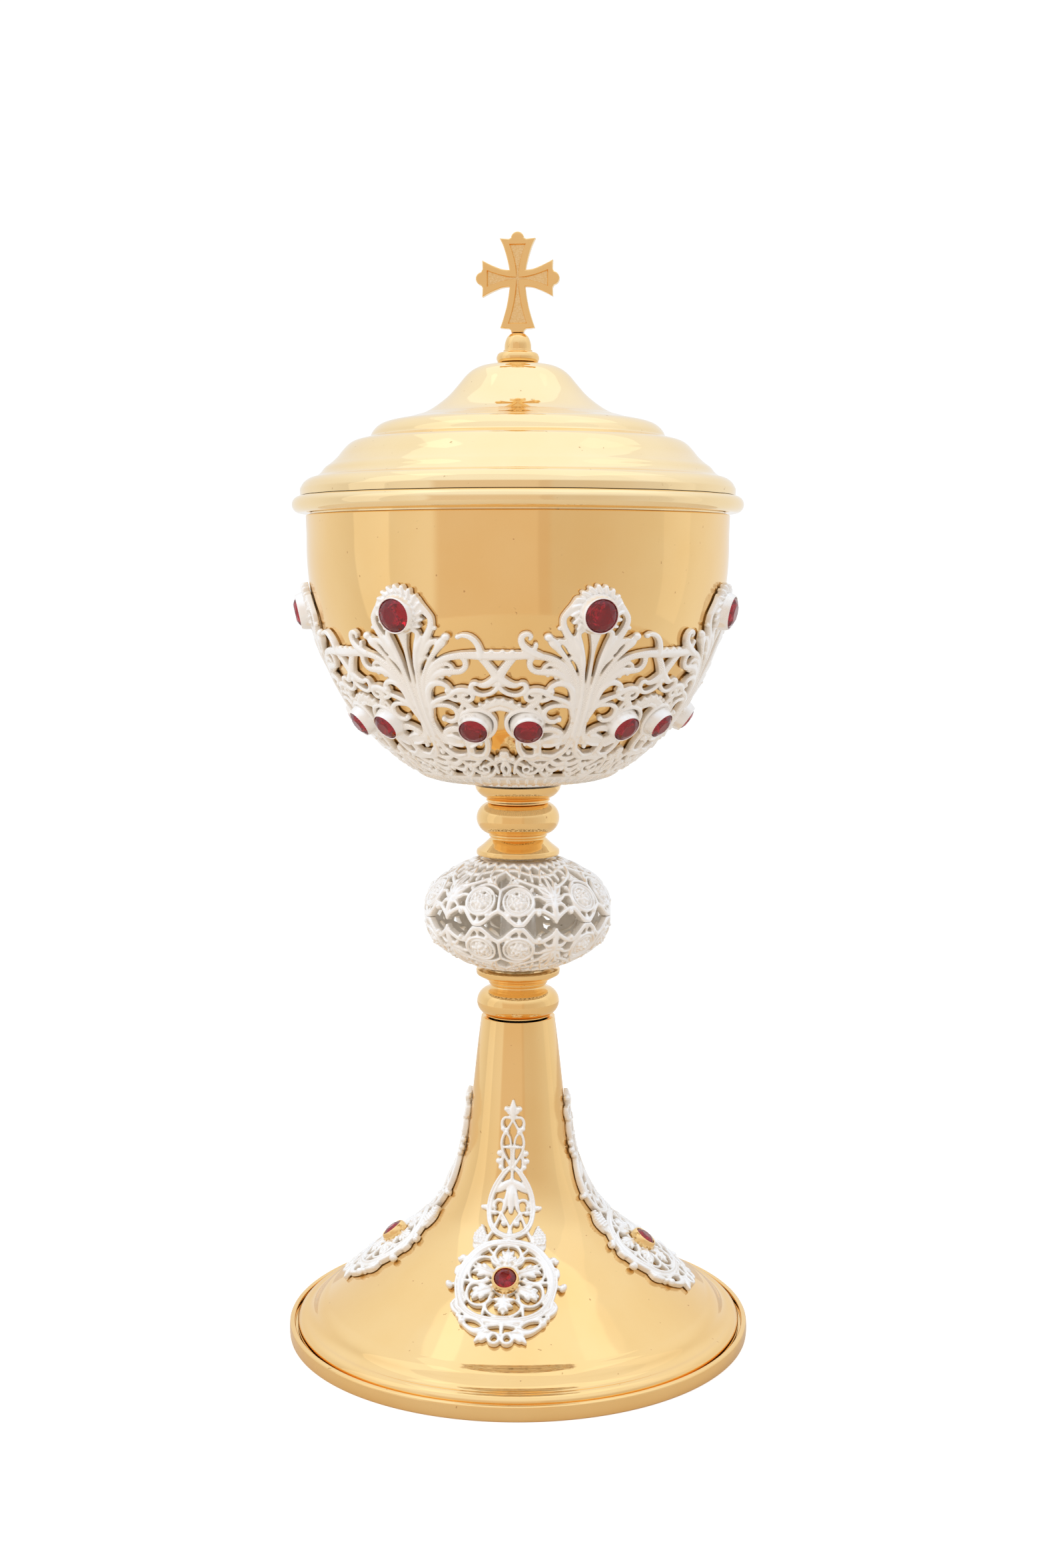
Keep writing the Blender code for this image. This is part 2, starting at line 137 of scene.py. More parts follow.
def makeGilding(name, turnMarks=0.35, polish=0.02, tones=gilding):
    look = Look(name, Metallic=1.0)
    cloud = look.noise(26, 4)
    fine = look.noise(1.1, 5, 0.65)
    marks = look.noise(9, 3, 0.6, (1, 1, 45))  # rings left by turning and polishing
    speck = look.noise(1.7, 2, 0.5).between(0.735, 0.765)
    colour = look.blend(cloud.between(0.35, 0.7), tones["bright"], tones["deep"])
    look.set("Base Color", look.blend(speck * 0.55, colour, tones["speck"]))
    look.set("Roughness", polish + 0.04 * cloud + 0.04 * marks + 0.25 * speck)
    look.set("Normal", look.bump(marks * turnMarks + fine * 0.2, 0.006, 0.5))
    return look.material


silvering = {
    "high": (0.97, 0.965, 0.95, 1),
    # low is the colour in the hollows of the castings, painted shade with painted gold reflection
    "low": (0.90, 0.85, 0.77, 1),
    "polish": 0.2,
}


def makeSilver(name, relief):
    look = Look(name, Metallic=0.5)
    grain = look.noise(0.42, 4, 0.6)
    cloud = look.noise(5, 3, 0.55)
    if relief:  # painted shade: the hollows of the casting get a darker warm colour, a painted shadow with painted reflection of the gold
        height = look.node("ShaderNodeAttribute", {"attribute_name": "relief"}, out="Fac")
        high = (height + 0.22 * cloud - 0.1).between(0.1, 0.62)
    else:
        high = cloud.between(0.2, 0.5)
    look.set("Base Color", look.blend(high, silvering["low"], silvering["high"]))
    look.set("Roughness", silvering["polish"] + 0.12 * (1 - high) + 0.06 * grain)
    look.set("Normal", look.bump(0.25 * grain + cloud, 0.02, 0.3))
    return look.material


rubyTones = ((0.44, 0.001, 0.016, 1), (0.60, 0.002, 0.026, 1))
steelTones = ((0.42, 0.41, 0.40, 1), (0.60, 0.59, 0.57, 1))
stippleTones = ((0.96, 0.72, 0.40, 1), (0.88, 0.60, 0.27, 1))


def makeRuby():
    look = Look("rubyGlass", Roughness=0.012, IOR=1.7, Transmission_Weight=0.92)
    look.set("Metallic", 0.12)  # foil behind it
    cloud = look.noise(3.5, 2)
    look.set("Base Color", look.blend(cloud, *rubyTones))
    look.set("Specular IOR Level", 0.16)
    return look.material


def makeSteel():
    look = Look("dullSteel", Metallic=1.0)
    cloud = look.noise(3, 4, 0.6)
    look.set("Base Color", look.blend(cloud, *steelTones))
    look.set("Roughness", 0.28 + 0.25 * cloud)
    look.set("Normal", look.bump(look.noise(1.2, 2, 0.5, (1, 1, 12)), 0.02, 0.5))
    return look.material


def makeStipple():
    look = Look("stippledGilding", Metallic=1.0)
    pits = look.node(
        "ShaderNodeTexVoronoi", {"feature": "F1"}, Vector=look.place(), Scale=1 / (0.42 * mm), Randomness=0.85
    )
    grain = look.noise(0.3, 3, 0.6)
    floor = pits.between(0.1, 0.75)
    look.set("Base Color", look.blend(floor, *stippleTones))
    look.set("Roughness", 0.26 + 0.2 * grain)
    look.set("Normal", look.bump(1 - pits + 0.3 * grain, 0.08, 0.7))
    return look.material


gold = makeGilding("gilding")
goldSmall = makeGilding("gildingSmall", 0.15, 0.03)
goldLitLid = makeGilding("gildingLitLid", tones=litGildingTones)
silverCast = makeSilver("silverCasting", True)
silverPlain = makeSilver("silverPlain", False)
ruby = makeRuby()
steel = makeSteel()
stipple = makeStipple()
print("finishes made")


# shared ways of making a piece

def meshOf(name, bm):
    mesh = bpy.data.meshes.new(name)
    bm.to_mesh(mesh)
    bm.free()
    return mesh


def addObject(name, data):
    made = bpy.data.objects.new(name, data)
    bpy.context.scene.collection.objects.link(made)
    return made


def settled(piece):  # its mesh once the modifiers have worked
    bpy.context.view_layer.update()
    seen = piece.evaluated_get(bpy.context.evaluated_depsgraph_get())
    return bpy.data.meshes.new_from_object(seen)


def finishPiece(name, bm, look, body, replaced=(), sharp=35, smooth=True):
    mesh = meshOf(name, bm)
    mesh.polygons.foreach_set("use_smooth", [smooth] * len(mesh.polygons))
    if smooth:
        mesh.set_sharp_from_angle(angle=radians(sharp))
    return placePiece(name, mesh, look, body, replaced)


def placePiece(name, mesh, look, body, replaced=()):
    for material in look if isinstance(look, (list, tuple)) else [look]:
        mesh.materials.append(material)
    made = addObject(name, mesh)
    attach(made, body)
    if replaced:
        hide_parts(*replaced)
    return made


def arc(x, z, radius, start, end, steps):
    angles = [radians(start + (end - start) * i / steps) for i in range(steps + 1)]
    return [(x + radius * cos(a), z + radius * sin(a)) for a in angles]


def rounded(line, steps=5):  # corners with a third number are rounded by that much
    points = []
    for i, corner in enumerate(line):
        here = Vector(corner[:2])
        if len(corner) == 2 or i in (0, len(line) - 1):
            points.append(tuple(here))
            continue
        before, after = Vector(line[i - 1][:2]) - here, Vector(line[i + 1][:2]) - here
        reach = min(corner[2], before.length * 0.49, after.length * 0.49)
        start, end = here + before.normalized() * reach, here + after.normalized() * reach
        for k in range(steps + 1):
            t = k / steps
            points.append(tuple(start * (1 - t) ** 2 + here * 2 * t * (1 - t) + end * t * t))
    return points


def flowing(points, step):  # a smooth path through the points, a point about every step
    rows = [np.array(p, float) for p in points]
    rows = [2 * rows[0] - rows[1]] + rows + [2 * rows[-1] - rows[-2]]
    path = [rows[1]]
    for p0, p1, p2, p3 in zip(rows, rows[1:], rows[2:], rows[3:]):
        count = max(2, int(np.ceil(np.linalg.norm((p2 - p1)[:2]) / step)))
        for k in range(1, count + 1):
            t = k / count
            path.append(
                0.5 * (2 * p1 + (p2 - p0) * t + (2 * p0 - 5 * p1 + 4 * p2 - p3) * t * t
                       + (3 * p1 - 3 * p2 + p3 - p0) * t**3)
            )
    return path


def spun(line, sides=192, closed=False):  # a turned shape from its section, as radius and height
    bm = bmesh.new()
    verts = [bm.verts.new((r * mm, 0, z * mm)) for r, z in line]
    pairs = list(zip(verts, verts[1:])) + ([(verts[-1], verts[0])] if closed else [])
    edges = [bm.edges.new(pair) for pair in pairs]
    bmesh.ops.spin(
        bm, geom=verts + edges, cent=(0, 0, 0), axis=(0, 0, 1), angle=2 * pi, steps=sides, use_merge=True
    )
    bmesh.ops.remove_doubles(bm, verts=bm.verts, dist=1e-6)
    bmesh.ops.recalc_face_normals(bm, faces=bm.faces)
    return bm


def turned(name, line, look, body, replaced, sides=192, closed=False, sharp=35):
    return finishPiece(name, spun(line, sides, closed), look, body, replaced, sharp)


def standOn(azimuth, radius, height, tilt):  # local Z leaves the surface, tilt in degrees above level
    return (
        Matrix.Rotation(radians(azimuth), 4, "Z")
        @ Matrix.Translation((0, -radius * mm, height * mm))
        @ Matrix.Rotation(radians(90 - tilt), 4, "X")
    )


# camera, floor and studio

ground = {"radius": 0.45, "colour": (0.69, 0.61, 0.52, 1), "glow": 0.75}
view = {"azimuth": 5.4, "distance": 0.51068, "height": 0.2061, "pitch": 6.297, "side": 0.0012, "lens": 44.16}
lamps = {  # name: place, size across and up, power, colour
    "overhead": ((0.02, 0.1, 1.0), (1.0, 0.8), 0.36, (0.90, 0.97, 1)),
    "leftBank": ((-1.1, -0.25, 0.7), (0.6, 2.4), 0.6, (0.94, 0.98, 1)),
    "rightBank": ((1.15, 0.15, 0.7), (0.5, 2.4), 0.2, (0.96, 0.98, 1)),
    "fill": ((-0.85, -0.8, 0.75), (0.7, 0.7), 3.9, (1, 0.985, 0.96)),
}
tent = {
    "left": (0.90, 0.87, 0.86),
    "right": (0.74, 0.67, 0.61),
    "room": (0.80, 0.69, 0.60),  # warm, through the open front
    "flap": (0.74, 0.62, 0.52),
    "side": (0.80, 0.78, 0.78),
    "back": (0.90, 0.90, 0.91),
    "top": (1.0, 1.05, 1.14),
    "seen": (1.1, 1.1, 1.1),
}


def makeCamera():
    turn = radians(view["azimuth"])
    cameraData = bpy.data.cameras.new("camera")
    cameraData.lens = view["lens"]
    cameraData.sensor_width = 36
    cameraData.clip_start = 0.01
    camera = addObject("camera", cameraData)
    camera.location = (
        view["distance"] * sin(turn) + view["side"] * cos(turn),
        -view["distance"] * cos(turn) + view["side"] * sin(turn),
        view["height"],
    )
    camera.rotation_euler = (radians(90 - view["pitch"]), 0, turn)
    bpy.context.scene.camera = camera


def makeFloor():
    bm = bmesh.new()
    bmesh.ops.create_circle(bm, cap_ends=True, segments=96, radius=ground["radius"])
    mesh = meshOf("floor", bm)
    look = Look("paleFloor", Roughness=0.7, Base_Color=ground["colour"], Emission_Strength=ground["glow"])
    seen = look.node("ShaderNodeLightPath")
    look.set("Emission Color", look.blend(seen, (0.05, 0.05, 0.05, 1), (1, 1, 1, 1)))
    look.set("Specular IOR Level", 0.1)
    mesh.materials.append(look.material)
    floor = addObject("floor", mesh)


def makeLamps():
    aim = Vector((0, 0, 0.16))
    for name, (place, size, power, colour) in lamps.items():
        lampData = bpy.data.lights.new(name, "AREA")
        lampData.shape = "RECTANGLE"
        lampData.size, lampData.size_y = size
        lampData.energy = power
        lampData.color = colour
        lamp = addObject(name, lampData)
        lamp.location = place
        lamp.visible_glossy = name != "fill"  # lifts the silver without a reflection in the gold
        lamp.rotation_euler = (aim - Vector(place)).to_track_quat("-Z", "Y").to_euler()


def makeTent():
    world = bpy.data.worlds.new("tent")
    world.use_nodes = True
    tree = world.node_tree
    background = tree.nodes["Background"]
    spot = tree.nodes.new("ShaderNodeTexCoord")
    split = tree.nodes.new("ShaderNodeSeparateXYZ")
    tree.links.new(spot.outputs["Generated"], split.inputs[0])
    path = tree.nodes.new("ShaderNodeLightPath")

    def ramp(axis, low, high):  # 0 to 1 along a direction
        made = tree.nodes.new("ShaderNodeMapRange")
        made.interpolation_type = "SMOOTHSTEP"
        tree.links.new(split.outputs[axis], made.inputs["Value"])
        made.inputs["From Min"].default_value = low
        made.inputs["From Max"].default_value = high
        return made.outputs[0]

    def mix(share, first, second):
        made = tree.nodes.new("ShaderNodeMix")
        made.data_type = "RGBA"
        tree.links.new(share, made.inputs[0])
        for socket, value in ((made.inputs[6], first), (made.inputs[7], second)):
            if isinstance(value, tuple):
                socket.default_value = (*value, 1)
            else:
                tree.links.new(value, socket)
        return made.outputs[2]

    walls = mix(ramp("X", -0.2, 0.3), tent["left"], tent["right"])
    front = mix(ramp("X", -0.66, -0.58), walls, tent["room"])
    front = mix(ramp("X", 0.26, 0.29), front, tent["flap"])
    front = mix(ramp("X", 0.35, 0.41), front, walls)
    behind = mix(ramp("Y", -0.2, 0.6), tent["side"], tent["back"])
    level = mix(ramp("Y", -0.8, 0.0), front, behind)
    light = mix(ramp("Z", 0.25, 0.8), level, tent["top"])
    seen = mix(path.outputs["Is Camera Ray"], light, tent["seen"])
    tree.links.new(seen, background.inputs["Color"])
    bpy.context.scene.world = world
    bpy.context.scene.view_settings.view_transform = "Standard"


makeCamera()
makeFloor()
makeLamps()
makeTent()
print("studio made")


# foot: turned ring and bell

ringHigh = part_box("base_ring")[1]
ring = {"radius": ringHigh.x / mm, "height": ringHigh.z / mm, "inner": 56.5, "ledge": 2.6}
bell = {
    "bends": [
        (60.2, 4.3), (58.3, 5.5), (54.2, 8.3), (49.6, 11.5), (44.2, 15.4), (38.6, 19.5), (33, 23.5),
        (27.9, 27.5), (23.7, 31.5), (20.6, 35.5), (17.2, 42), (14.6, 49.5), (13.1, 59), (12, 69),
        (10.9, 79), (9.9, 86.9),
    ],
    "wall": 0.9,
    "ripples": ((0.45, 59, 1.1), (-0.45, 56.6, 1.5), (0.3, 53.6, 1.6)),  # height, radius, half width
}


def bellLine():
    return [(float(r), float(z)) for r, z in flowing(bell["bends"], 0.6)]


def offsetLine(line, distance):
    moved = []
    for i, (r, z) in enumerate(line):
        r0, z0 = line[max(i - 1, 0)]
        r1, z1 = line[min(i + 1, len(line) - 1)]
        length = hypot(r1 - r0, z1 - z0)
        moved.append((r - (z1 - z0) / length * distance, z + (r1 - r0) / length * distance))
    return moved


def makeFoot():
    r, h = ring["radius"], ring["height"]
    section = rounded([
        (ring["inner"], 0), (r - 0.2, 0, 0.8), (r, 1.9, 1.0), (r - 0.15, h - 0.05, 1.1), (r - 1.5, h, 0.5),
        (r - 1.6, ring["ledge"], 0.1), (ring["inner"], ring["ledge"]),
    ])
    turned("footRing", section, gold, "vessel", ["base_ring"], 256, True)
    line = bellLine()
    outer = []
    for radius, height in line:  # beads and a hollow run round above the ring
        lift = sum(rise * max(0, 1 - ((radius - at) / wide) ** 2) for rise, at, wide in bell["ripples"])
        outer.append((radius + lift * 0.5, height + lift * 0.85))
    inner = offsetLine(line, bell["wall"])
    outer = [(60.2, ring["ledge"] + 0.3)] + outer
    inner = [(60.2 - bell["wall"], ring["ledge"] + 0.3)] + inner
    section = outer + [(2.4, 86.9), (2.4, 86.0)] + inner[::-1]
    turned("footBell", section, gold, "vessel", ["foot_bell"], 256, True, 50)


makeFoot()
print("foot made")


# stem collars, boss and washer

stem = {
    "lowBead": (7.3, 91.0, 3.8),
    "highBead": (6.75, 140.8, 4.35),
    "bore": 2.4,
}


def makeStem():
    bore = stem["bore"]
    low = [(bore, 87.2), (8.6, 87.2)] + arc(*stem["lowBead"], -70, 78, 14)
    low += rounded([
        (7.6, 95), (7.35, 95.5, 0.2), (7.9, 96.05, 0.3), (8, 96.5, 0.2), (8.5, 97, 0.2),
        (11.15, 98.5, 0.3), (11.3, 99.7, 0.3), (11, 99.9), (bore, 99.9),
    ])
    turned("lowerCollar", low, goldSmall, "vessel", ["lower_collar"], 128, True)
    high = rounded([
        (bore, 130.9), (11, 130.9, 0.2), (11.15, 131.5, 0.3), (11.05, 132.25, 0.3), (9.1, 133.8, 0.5),
        (7.5, 135.3, 0.3), (7.35, 135.6, 0.2), (7.85, 136.1, 0.3), (7.7, 136.6, 0.2), (7.4, 136.8),
    ])
    high += arc(*stem["highBead"], -66, 72, 14) + [(8.1, 145.2), (bore, 145.2)]
    turned("upperCollar", high, goldSmall, "vessel", ["upper_collar"], 128, True)
    boss = [(bore, 145.5), (8.5, 145.5), (8.5, 145.85)]
    boss += flowing([(8.2, 146), (9.7, 146.8), (10.6, 147.6), (11.2, 148.5), (11.5, 149.6)], 0.4)
    boss += [(bore, 149.6)]
    turned("cupBoss", boss, goldSmall, "vessel", ["bowl_boss"], 128, True)
    washer = rounded([
        (bore, 150), (11.4, 150, 0.3), (11.55, 150.65, 0.4), (11.3, 151.3, 0.3), (bore, 151.3),
    ])
    turned("cageRing", washer, silverPlain, "vessel", ["cage_washer"], 128, True)


makeStem()
print("stem made")


# cup

cupLow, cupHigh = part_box("bowl")
cup = {
    "radius": 55.4,
    "lip": cupHigh.z / mm,
    "curveTop": 212.5,
    "curveHeight": 65.0,
    "floor": cupLow.z / mm,
    "wall": 0.9,
}


def cupAt(height):  # radius, and tilt of the way out in degrees
    drop = max(cup["curveTop"] - height, 0.0) / cup["curveHeight"]
    radius = cup["radius"] * sqrt(1 - drop * drop)
    return radius, -atan2(drop / cup["curveHeight"], radius / cup["radius"] ** 2) * 180 / pi


def cupLine():
    steps = 60
    span = cup["curveTop"] - cup["floor"]
    heights = [cup["floor"] + span * (i / steps) ** 1.25 for i in range(steps + 1)]
    return [(cupAt(z)[0], z) for z in heights]


def makeCup():
    outer = cupLine()
    outer[0] = (outer[0][0] - 1.0, outer[0][1])
    inner = offsetLine(outer, cup["wall"])
    inner[0] = (outer[0][0] - 0.8, cup["floor"] + cup["wall"])
    lip, r = cup["lip"], cup["radius"]
    mouth = rounded([
        (r, 216), (r + 0.15, lip - 0.3, 0.5), (r - 0.3, lip, 0.3), (r - 0.9, lip - 0.2, 0.3), (r - 0.9, 216),
    ])
    line = [(0, cup["floor"])] + outer + mouth + inner[::-1] + [(0, cup["floor"] + cup["wall"])]
    turned("cup", line, gold, "vessel", ["bowl"], 256, False, 50)


makeCup()
print("cup made")


# lid, finial and cross

lid = {
    "section": [
        (56.9, 225.75), (57.0, 227.4, 0.4), (56.1, 229.1, 0.8), (54.6, 230.2, 0.8), (52.6, 230.7, 0.6),
        (51.5, 231.6, 0.6), (50.5, 233.0, 0.8), (49.0, 234.0, 0.8), (47.2, 235.6, 0.9), (45.9, 237.3, 0.9),
        (44.6, 238.7, 0.9), (43.4, 239.6, 0.7), (41.6, 240.2, 0.9), (39.35, 240.6, 0.25), (38.6, 241.0, 0.3),
        (38.1, 242.2, 0.6), (37.2, 243.3, 0.6), (36.0, 244.2, 0.8), (34.4, 244.8, 0.8), (31.9, 245.3, 1.5),
        (29.3, 245.8, 1.2), (27.0, 246.5, 0.8), (25.5, 246.8, 0.7), (23.0, 248.0, 1.2), (20.5, 249.7, 1.3),
        (17.9, 251.8, 1.5), (15.4, 254.7, 1.5), (13.7, 256.8, 1.2), (12.0, 258.3, 1.0), (9.9, 259.3, 0.8),
        (7.0, 259.9, 1.0), (2.1, 259.9),
    ],
    "wall": 0.9,
    "bead": (56.9, 223.4, 2.2),
    "guide": (52.9, 54.1),  # the ring that sits in the cup, inside and outside radius
}


def makeLid():
    inside, outside = lid["guide"]
    rim = [(inside, 215.7), (outside, 215.7), (outside, 221.2)] + arc(*lid["bead"], -90, 90, 24)
    rim += [(inside, 225.6)]
    turned("lidBead", rim, goldLitLid, "lid", ["lid_rim"], 256, True)
    outer = rounded(lid["section"], 4)
    inner = offsetLine(outer, lid["wall"])
    inner[0] = (outer[0][0] - lid["wall"], outer[0][1])
    inner[-1] = (2.1, 259.0)
    turned("lidShell", outer + inner[::-1], goldLitLid, "lid", ["lid_shell"], 256, True, 60)
    knob = rounded([
        (0, 252.9), (1.8, 252.9), (1.8, 260.15), (4.6, 260.15, 0.2), (5.25, 260.35, 0.3), (5.7, 261.3, 0.8),
        (5.2, 262.7, 0.7), (4.0, 262.95, 0.2), (3.8, 263.1, 0.15), (3.8, 263.45, 0.15), (3.5, 263.5, 0.1),
        (3.45, 265.2, 0.8), (2.8, 266.9, 0.8), (1.8, 267.75, 0.3), (1.3, 267.7), (1.3, 263.0), (0, 263.0),
    ])
    turned("finial", knob, goldSmall, "lid", ["finial_knob"], 96, False)


makeLid()
print("lid made")

cross = {
    "middle": 281.7,
    "thickness": 2.8,
    "sunk": 0.5,
    "nub": 1.7,
}


def plate(outline, front, back):  # an outline in x and z, raised between two depths
    bm = bmesh.new()
    verts = [bm.verts.new((x * mm, front * mm, (cross["middle"] + z) * mm)) for x, z in outline]
    face = bm.faces.new(verts)
    bmesh.ops.recalc_face_normals(bm, faces=[face])
    grown = bmesh.ops.extrude_face_region(bm, geom=[face])["geom"]
    moved = [v for v in grown if isinstance(v, bmesh.types.BMVert)]
    bmesh.ops.translate(bm, verts=moved, vec=(0, (back - front) * mm, 0))
    bmesh.ops.recalc_face_normals(bm, faces=bm.faces)
    return bm, moved


def mirrored(right):
    return right + [(-x, z) for x, z in reversed(right) if x > 1e-6]


def makeCrossBody():
    nub, back = cross["nub"], cross["thickness"] / 2
    right = arc(0, 10.1, nub, 90, 4, 7) + [(2.3, 9.95)]
    right += flowing([(4.65, 10.15), (3.75, 8.3), (3, 6), (2.45, 3.9), (2.1, 2.1)], 0.7)
    right += flowing([(2.1, 2.1), (3.9, 2.3), (5.6, 2.9), (7.4, 3.7), (9.2, 4.65)], 0.7)[1:]
    right += [(9.1, 2.4)] + arc(9.2, 0, nub, 80, -80, 7) + [(9.1, -2.4)]
    right += flowing([(9.2, -4.65), (7.4, -3.7), (5.6, -2.9), (3.9, -2.3), (2, -2.1)], 0.7)
    right += flowing([(2, -2.1), (2.3, -4.2), (2.8, -7), (3.6, -9.9), (4.5, -12.6)], 0.7)[1:]
    right += [(3.2, -12.75), (2.2, -12.8), (1.75, -13.2), (1.6, -13.8)]
    bm = plate(mirrored(right), back, -back)[0]
    level = [e for e in bm.edges if abs(e.verts[0].co.y - e.verts[1].co.y) < 1e-6]
    bmesh.ops.bevel(
        bm, geom=[e for e in level if e.calc_face_angle(0) > 0.9], offset=0.3 * mm, offset_type="OFFSET",
        affect="EDGES", segments=3, profile=0.5, material=-1
    )
    bmesh.ops.triangulate(bm, faces=[f for f in bm.faces if len(f.verts) > 8])
    return finishPiece("cross", bm, [goldSmall, stipple], "lid", ["cross"], 30)


def panelCutter(way):  # the sunk panel, its walls sloping in towards the floor
    arm = flowing([(0.32, 0.32), (0.5, 2.4), (0.95, 4.8), (1.55, 6.9), (2.2, 8.7)], 0.6)
    side = flowing([(0.32, 0.32), (2.2, 0.48), (4.4, 0.95), (6.3, 1.55), (8, 2.15)], 0.6)[1:]
    low = flowing([(0.32, -0.32), (0.5, -2.6), (1, -6), (1.7, -9), (2.5, -11.6)], 0.6)
    back = cross["thickness"] / 2
    outline = mirrored(arm[::-1] + side + [(x, -z) for x, z in side[::-1]] + low)
    bm, floor = plate(outline, way * (back + 0.05), way * (back - cross["sunk"]))
    for vert in floor:
        x, z = vert.co.x / mm, vert.co.z / mm - cross["middle"]
        inward = min(0.3, max(abs(x), abs(z)) * 0.12)
        vert.co.x -= copysign(min(inward, abs(x) * 0.45), x) * mm
        vert.co.z -= copysign(min(inward, abs(z) * 0.45), z) * mm
    bmesh.ops.recalc_face_normals(bm, faces=bm.faces)
    for face in bm.faces:
        face.material_index = 1 if abs(face.normal.y) > 0.8 else 0
    mesh = meshOf("panelCutter", bm)
    for material in (goldSmall, stipple):
        mesh.materials.append(material)
    return addObject("panelCutter", mesh)


def makeCross():
    made = makeCrossBody()
    for way in (-1, 1):
        cutter = panelCutter(way)
        cut = made.modifiers.new("panel", "BOOLEAN")
        cut.operation = "DIFFERENCE"
        cut.solver = "EXACT"
        cut.object = cutter
        done = settled(made)
        made.modifiers.clear()
        made.data = done
        bpy.data.objects.remove(cutter)


makeCross()
print("cross made")


# cut stones and the plain metal round them

lobes = 7
jewels = {  # girdle radius, height of the girdle off the metal, radius of the collet
    "large": {"girdle": 4.1, "lift": 3.8, "collet": 4.75, "height": 196.5},
    "small": {"girdle": 3.5, "lift": 3.6, "collet": 4.0, "height": 169.6, "spread": 8.7},
    "foot": {"girdle": 2.85, "lift": 3.2, "collet": 3.6, "height": 23.6},
}


def addStone(name, place, jewel, node):
    g, lift = jewel["girdle"], jewel["lift"]
    bm = bmesh.new()
    rings = ((0.55, 0.30, 8, 0), (0.82, 0.185, 8, 0.5), (1, 0, 16, 0), (1, -0.05, 16, 0))  # table to girdle
    for share, height, count, offset in rings:
        for k in range(count):
            angle = 2 * pi * (k + offset) / count
            bm.verts.new((share * g * cos(angle) * mm, share * g * sin(angle) * mm, (lift + height * g) * mm))
    bm.verts.new((0, 0, (lift - 0.56 * g) * mm))
    hull = bmesh.ops.convex_hull(bm, input=bm.verts)
    inside = [v for v in hull["geom_interior"] if isinstance(v, bmesh.types.BMVert)]
    bmesh.ops.delete(bm, geom=inside, context="VERTS")
    bmesh.ops.dissolve_limit(bm, angle_limit=radians(1.5), verts=bm.verts, edges=bm.edges)
    bmesh.ops.recalc_face_normals(bm, faces=bm.faces)
    bm.transform(place)
    finishPiece(name, bm, ruby, "vessel", [node], 1, False)


def addCollet(name, place, jewel, look, replaced, foot, flare=0.0):
    g, lift, r = jewel["girdle"], jewel["lift"], jewel["collet"]
    line = rounded([
        (0, foot), (r + flare, foot), (r + 0.05, lift - 0.7, 0.5), (r - 0.25, lift + 0.15, 0.35),
        (g + 0.22, lift + 0.42, 0.2), (g - 0.02, lift + 0.22, 0.08), (g + 0.06, lift - 0.25, 0.1),
        (g * 0.62, lift - 0.55 * g, 0.2), (0, lift - 0.62 * g),
    ])
    bm = spun(line, 64)
    bm.transform(place)
    finishPiece(name, bm, look, "vessel", replaced)


def jewelPlaces(kind):
    jewel = jewels[kind]
    radius, tilt = cupAt(jewel["height"])
    steps = [180 / lobes] if kind == "large" else [-jewel["spread"], jewel["spread"]]
    turns = [360 * lobe / lobes + step for lobe in range(lobes) for step in steps]
    return [standOn(turn, radius, jewel["height"], tilt) for turn in turns]


def bellAt(height):
    line = bellLine()
    for (r0, z0), (r1, z1) in zip(line, line[1:]):
        if z0 <= height <= z1:
            share = (height - z0) / (z1 - z0)
            return r0 + (r1 - r0) * share, atan2(r0 - r1, z1 - z0) * 180 / pi
    return line[-1][0], 0.0


def makeJewels():
    for kind in ("large", "small"):
        for number, place in enumerate(jewelPlaces(kind), 1):
            addStone(f"{kind}Stone{number}", place, jewels[kind], f"{kind}_stone_{number}")
            addCollet(f"{kind}Collet{number}", place, jewels[kind], silverPlain, (), 0.7, 0.45)
    radius, tilt = bellAt(jewels["foot"]["height"])
    for number in range(1, 5):
        place = standOn(90 * (number - 1), radius, jewels["foot"]["height"], tilt)
        addStone(f"footStone{number}", place, jewels["foot"], f"foot_stone_{number}")
        addCollet(f"footCollet{number}", place, jewels["foot"], goldSmall, [f"foot_collet_{number}"], 0.4)


makeJewels()
print("stones set")


# cast openwork, drawn flat as raised strokes and then wrapped on its surface

castWork = {
    "back": -0.8,  # depth of the flat back
    "edge": 0.35,  # height of a stroke's wall where its crown starts
    "voxel": 0.19,
    "keep": 0.5,  # share of the faces that the thinning leaves
}


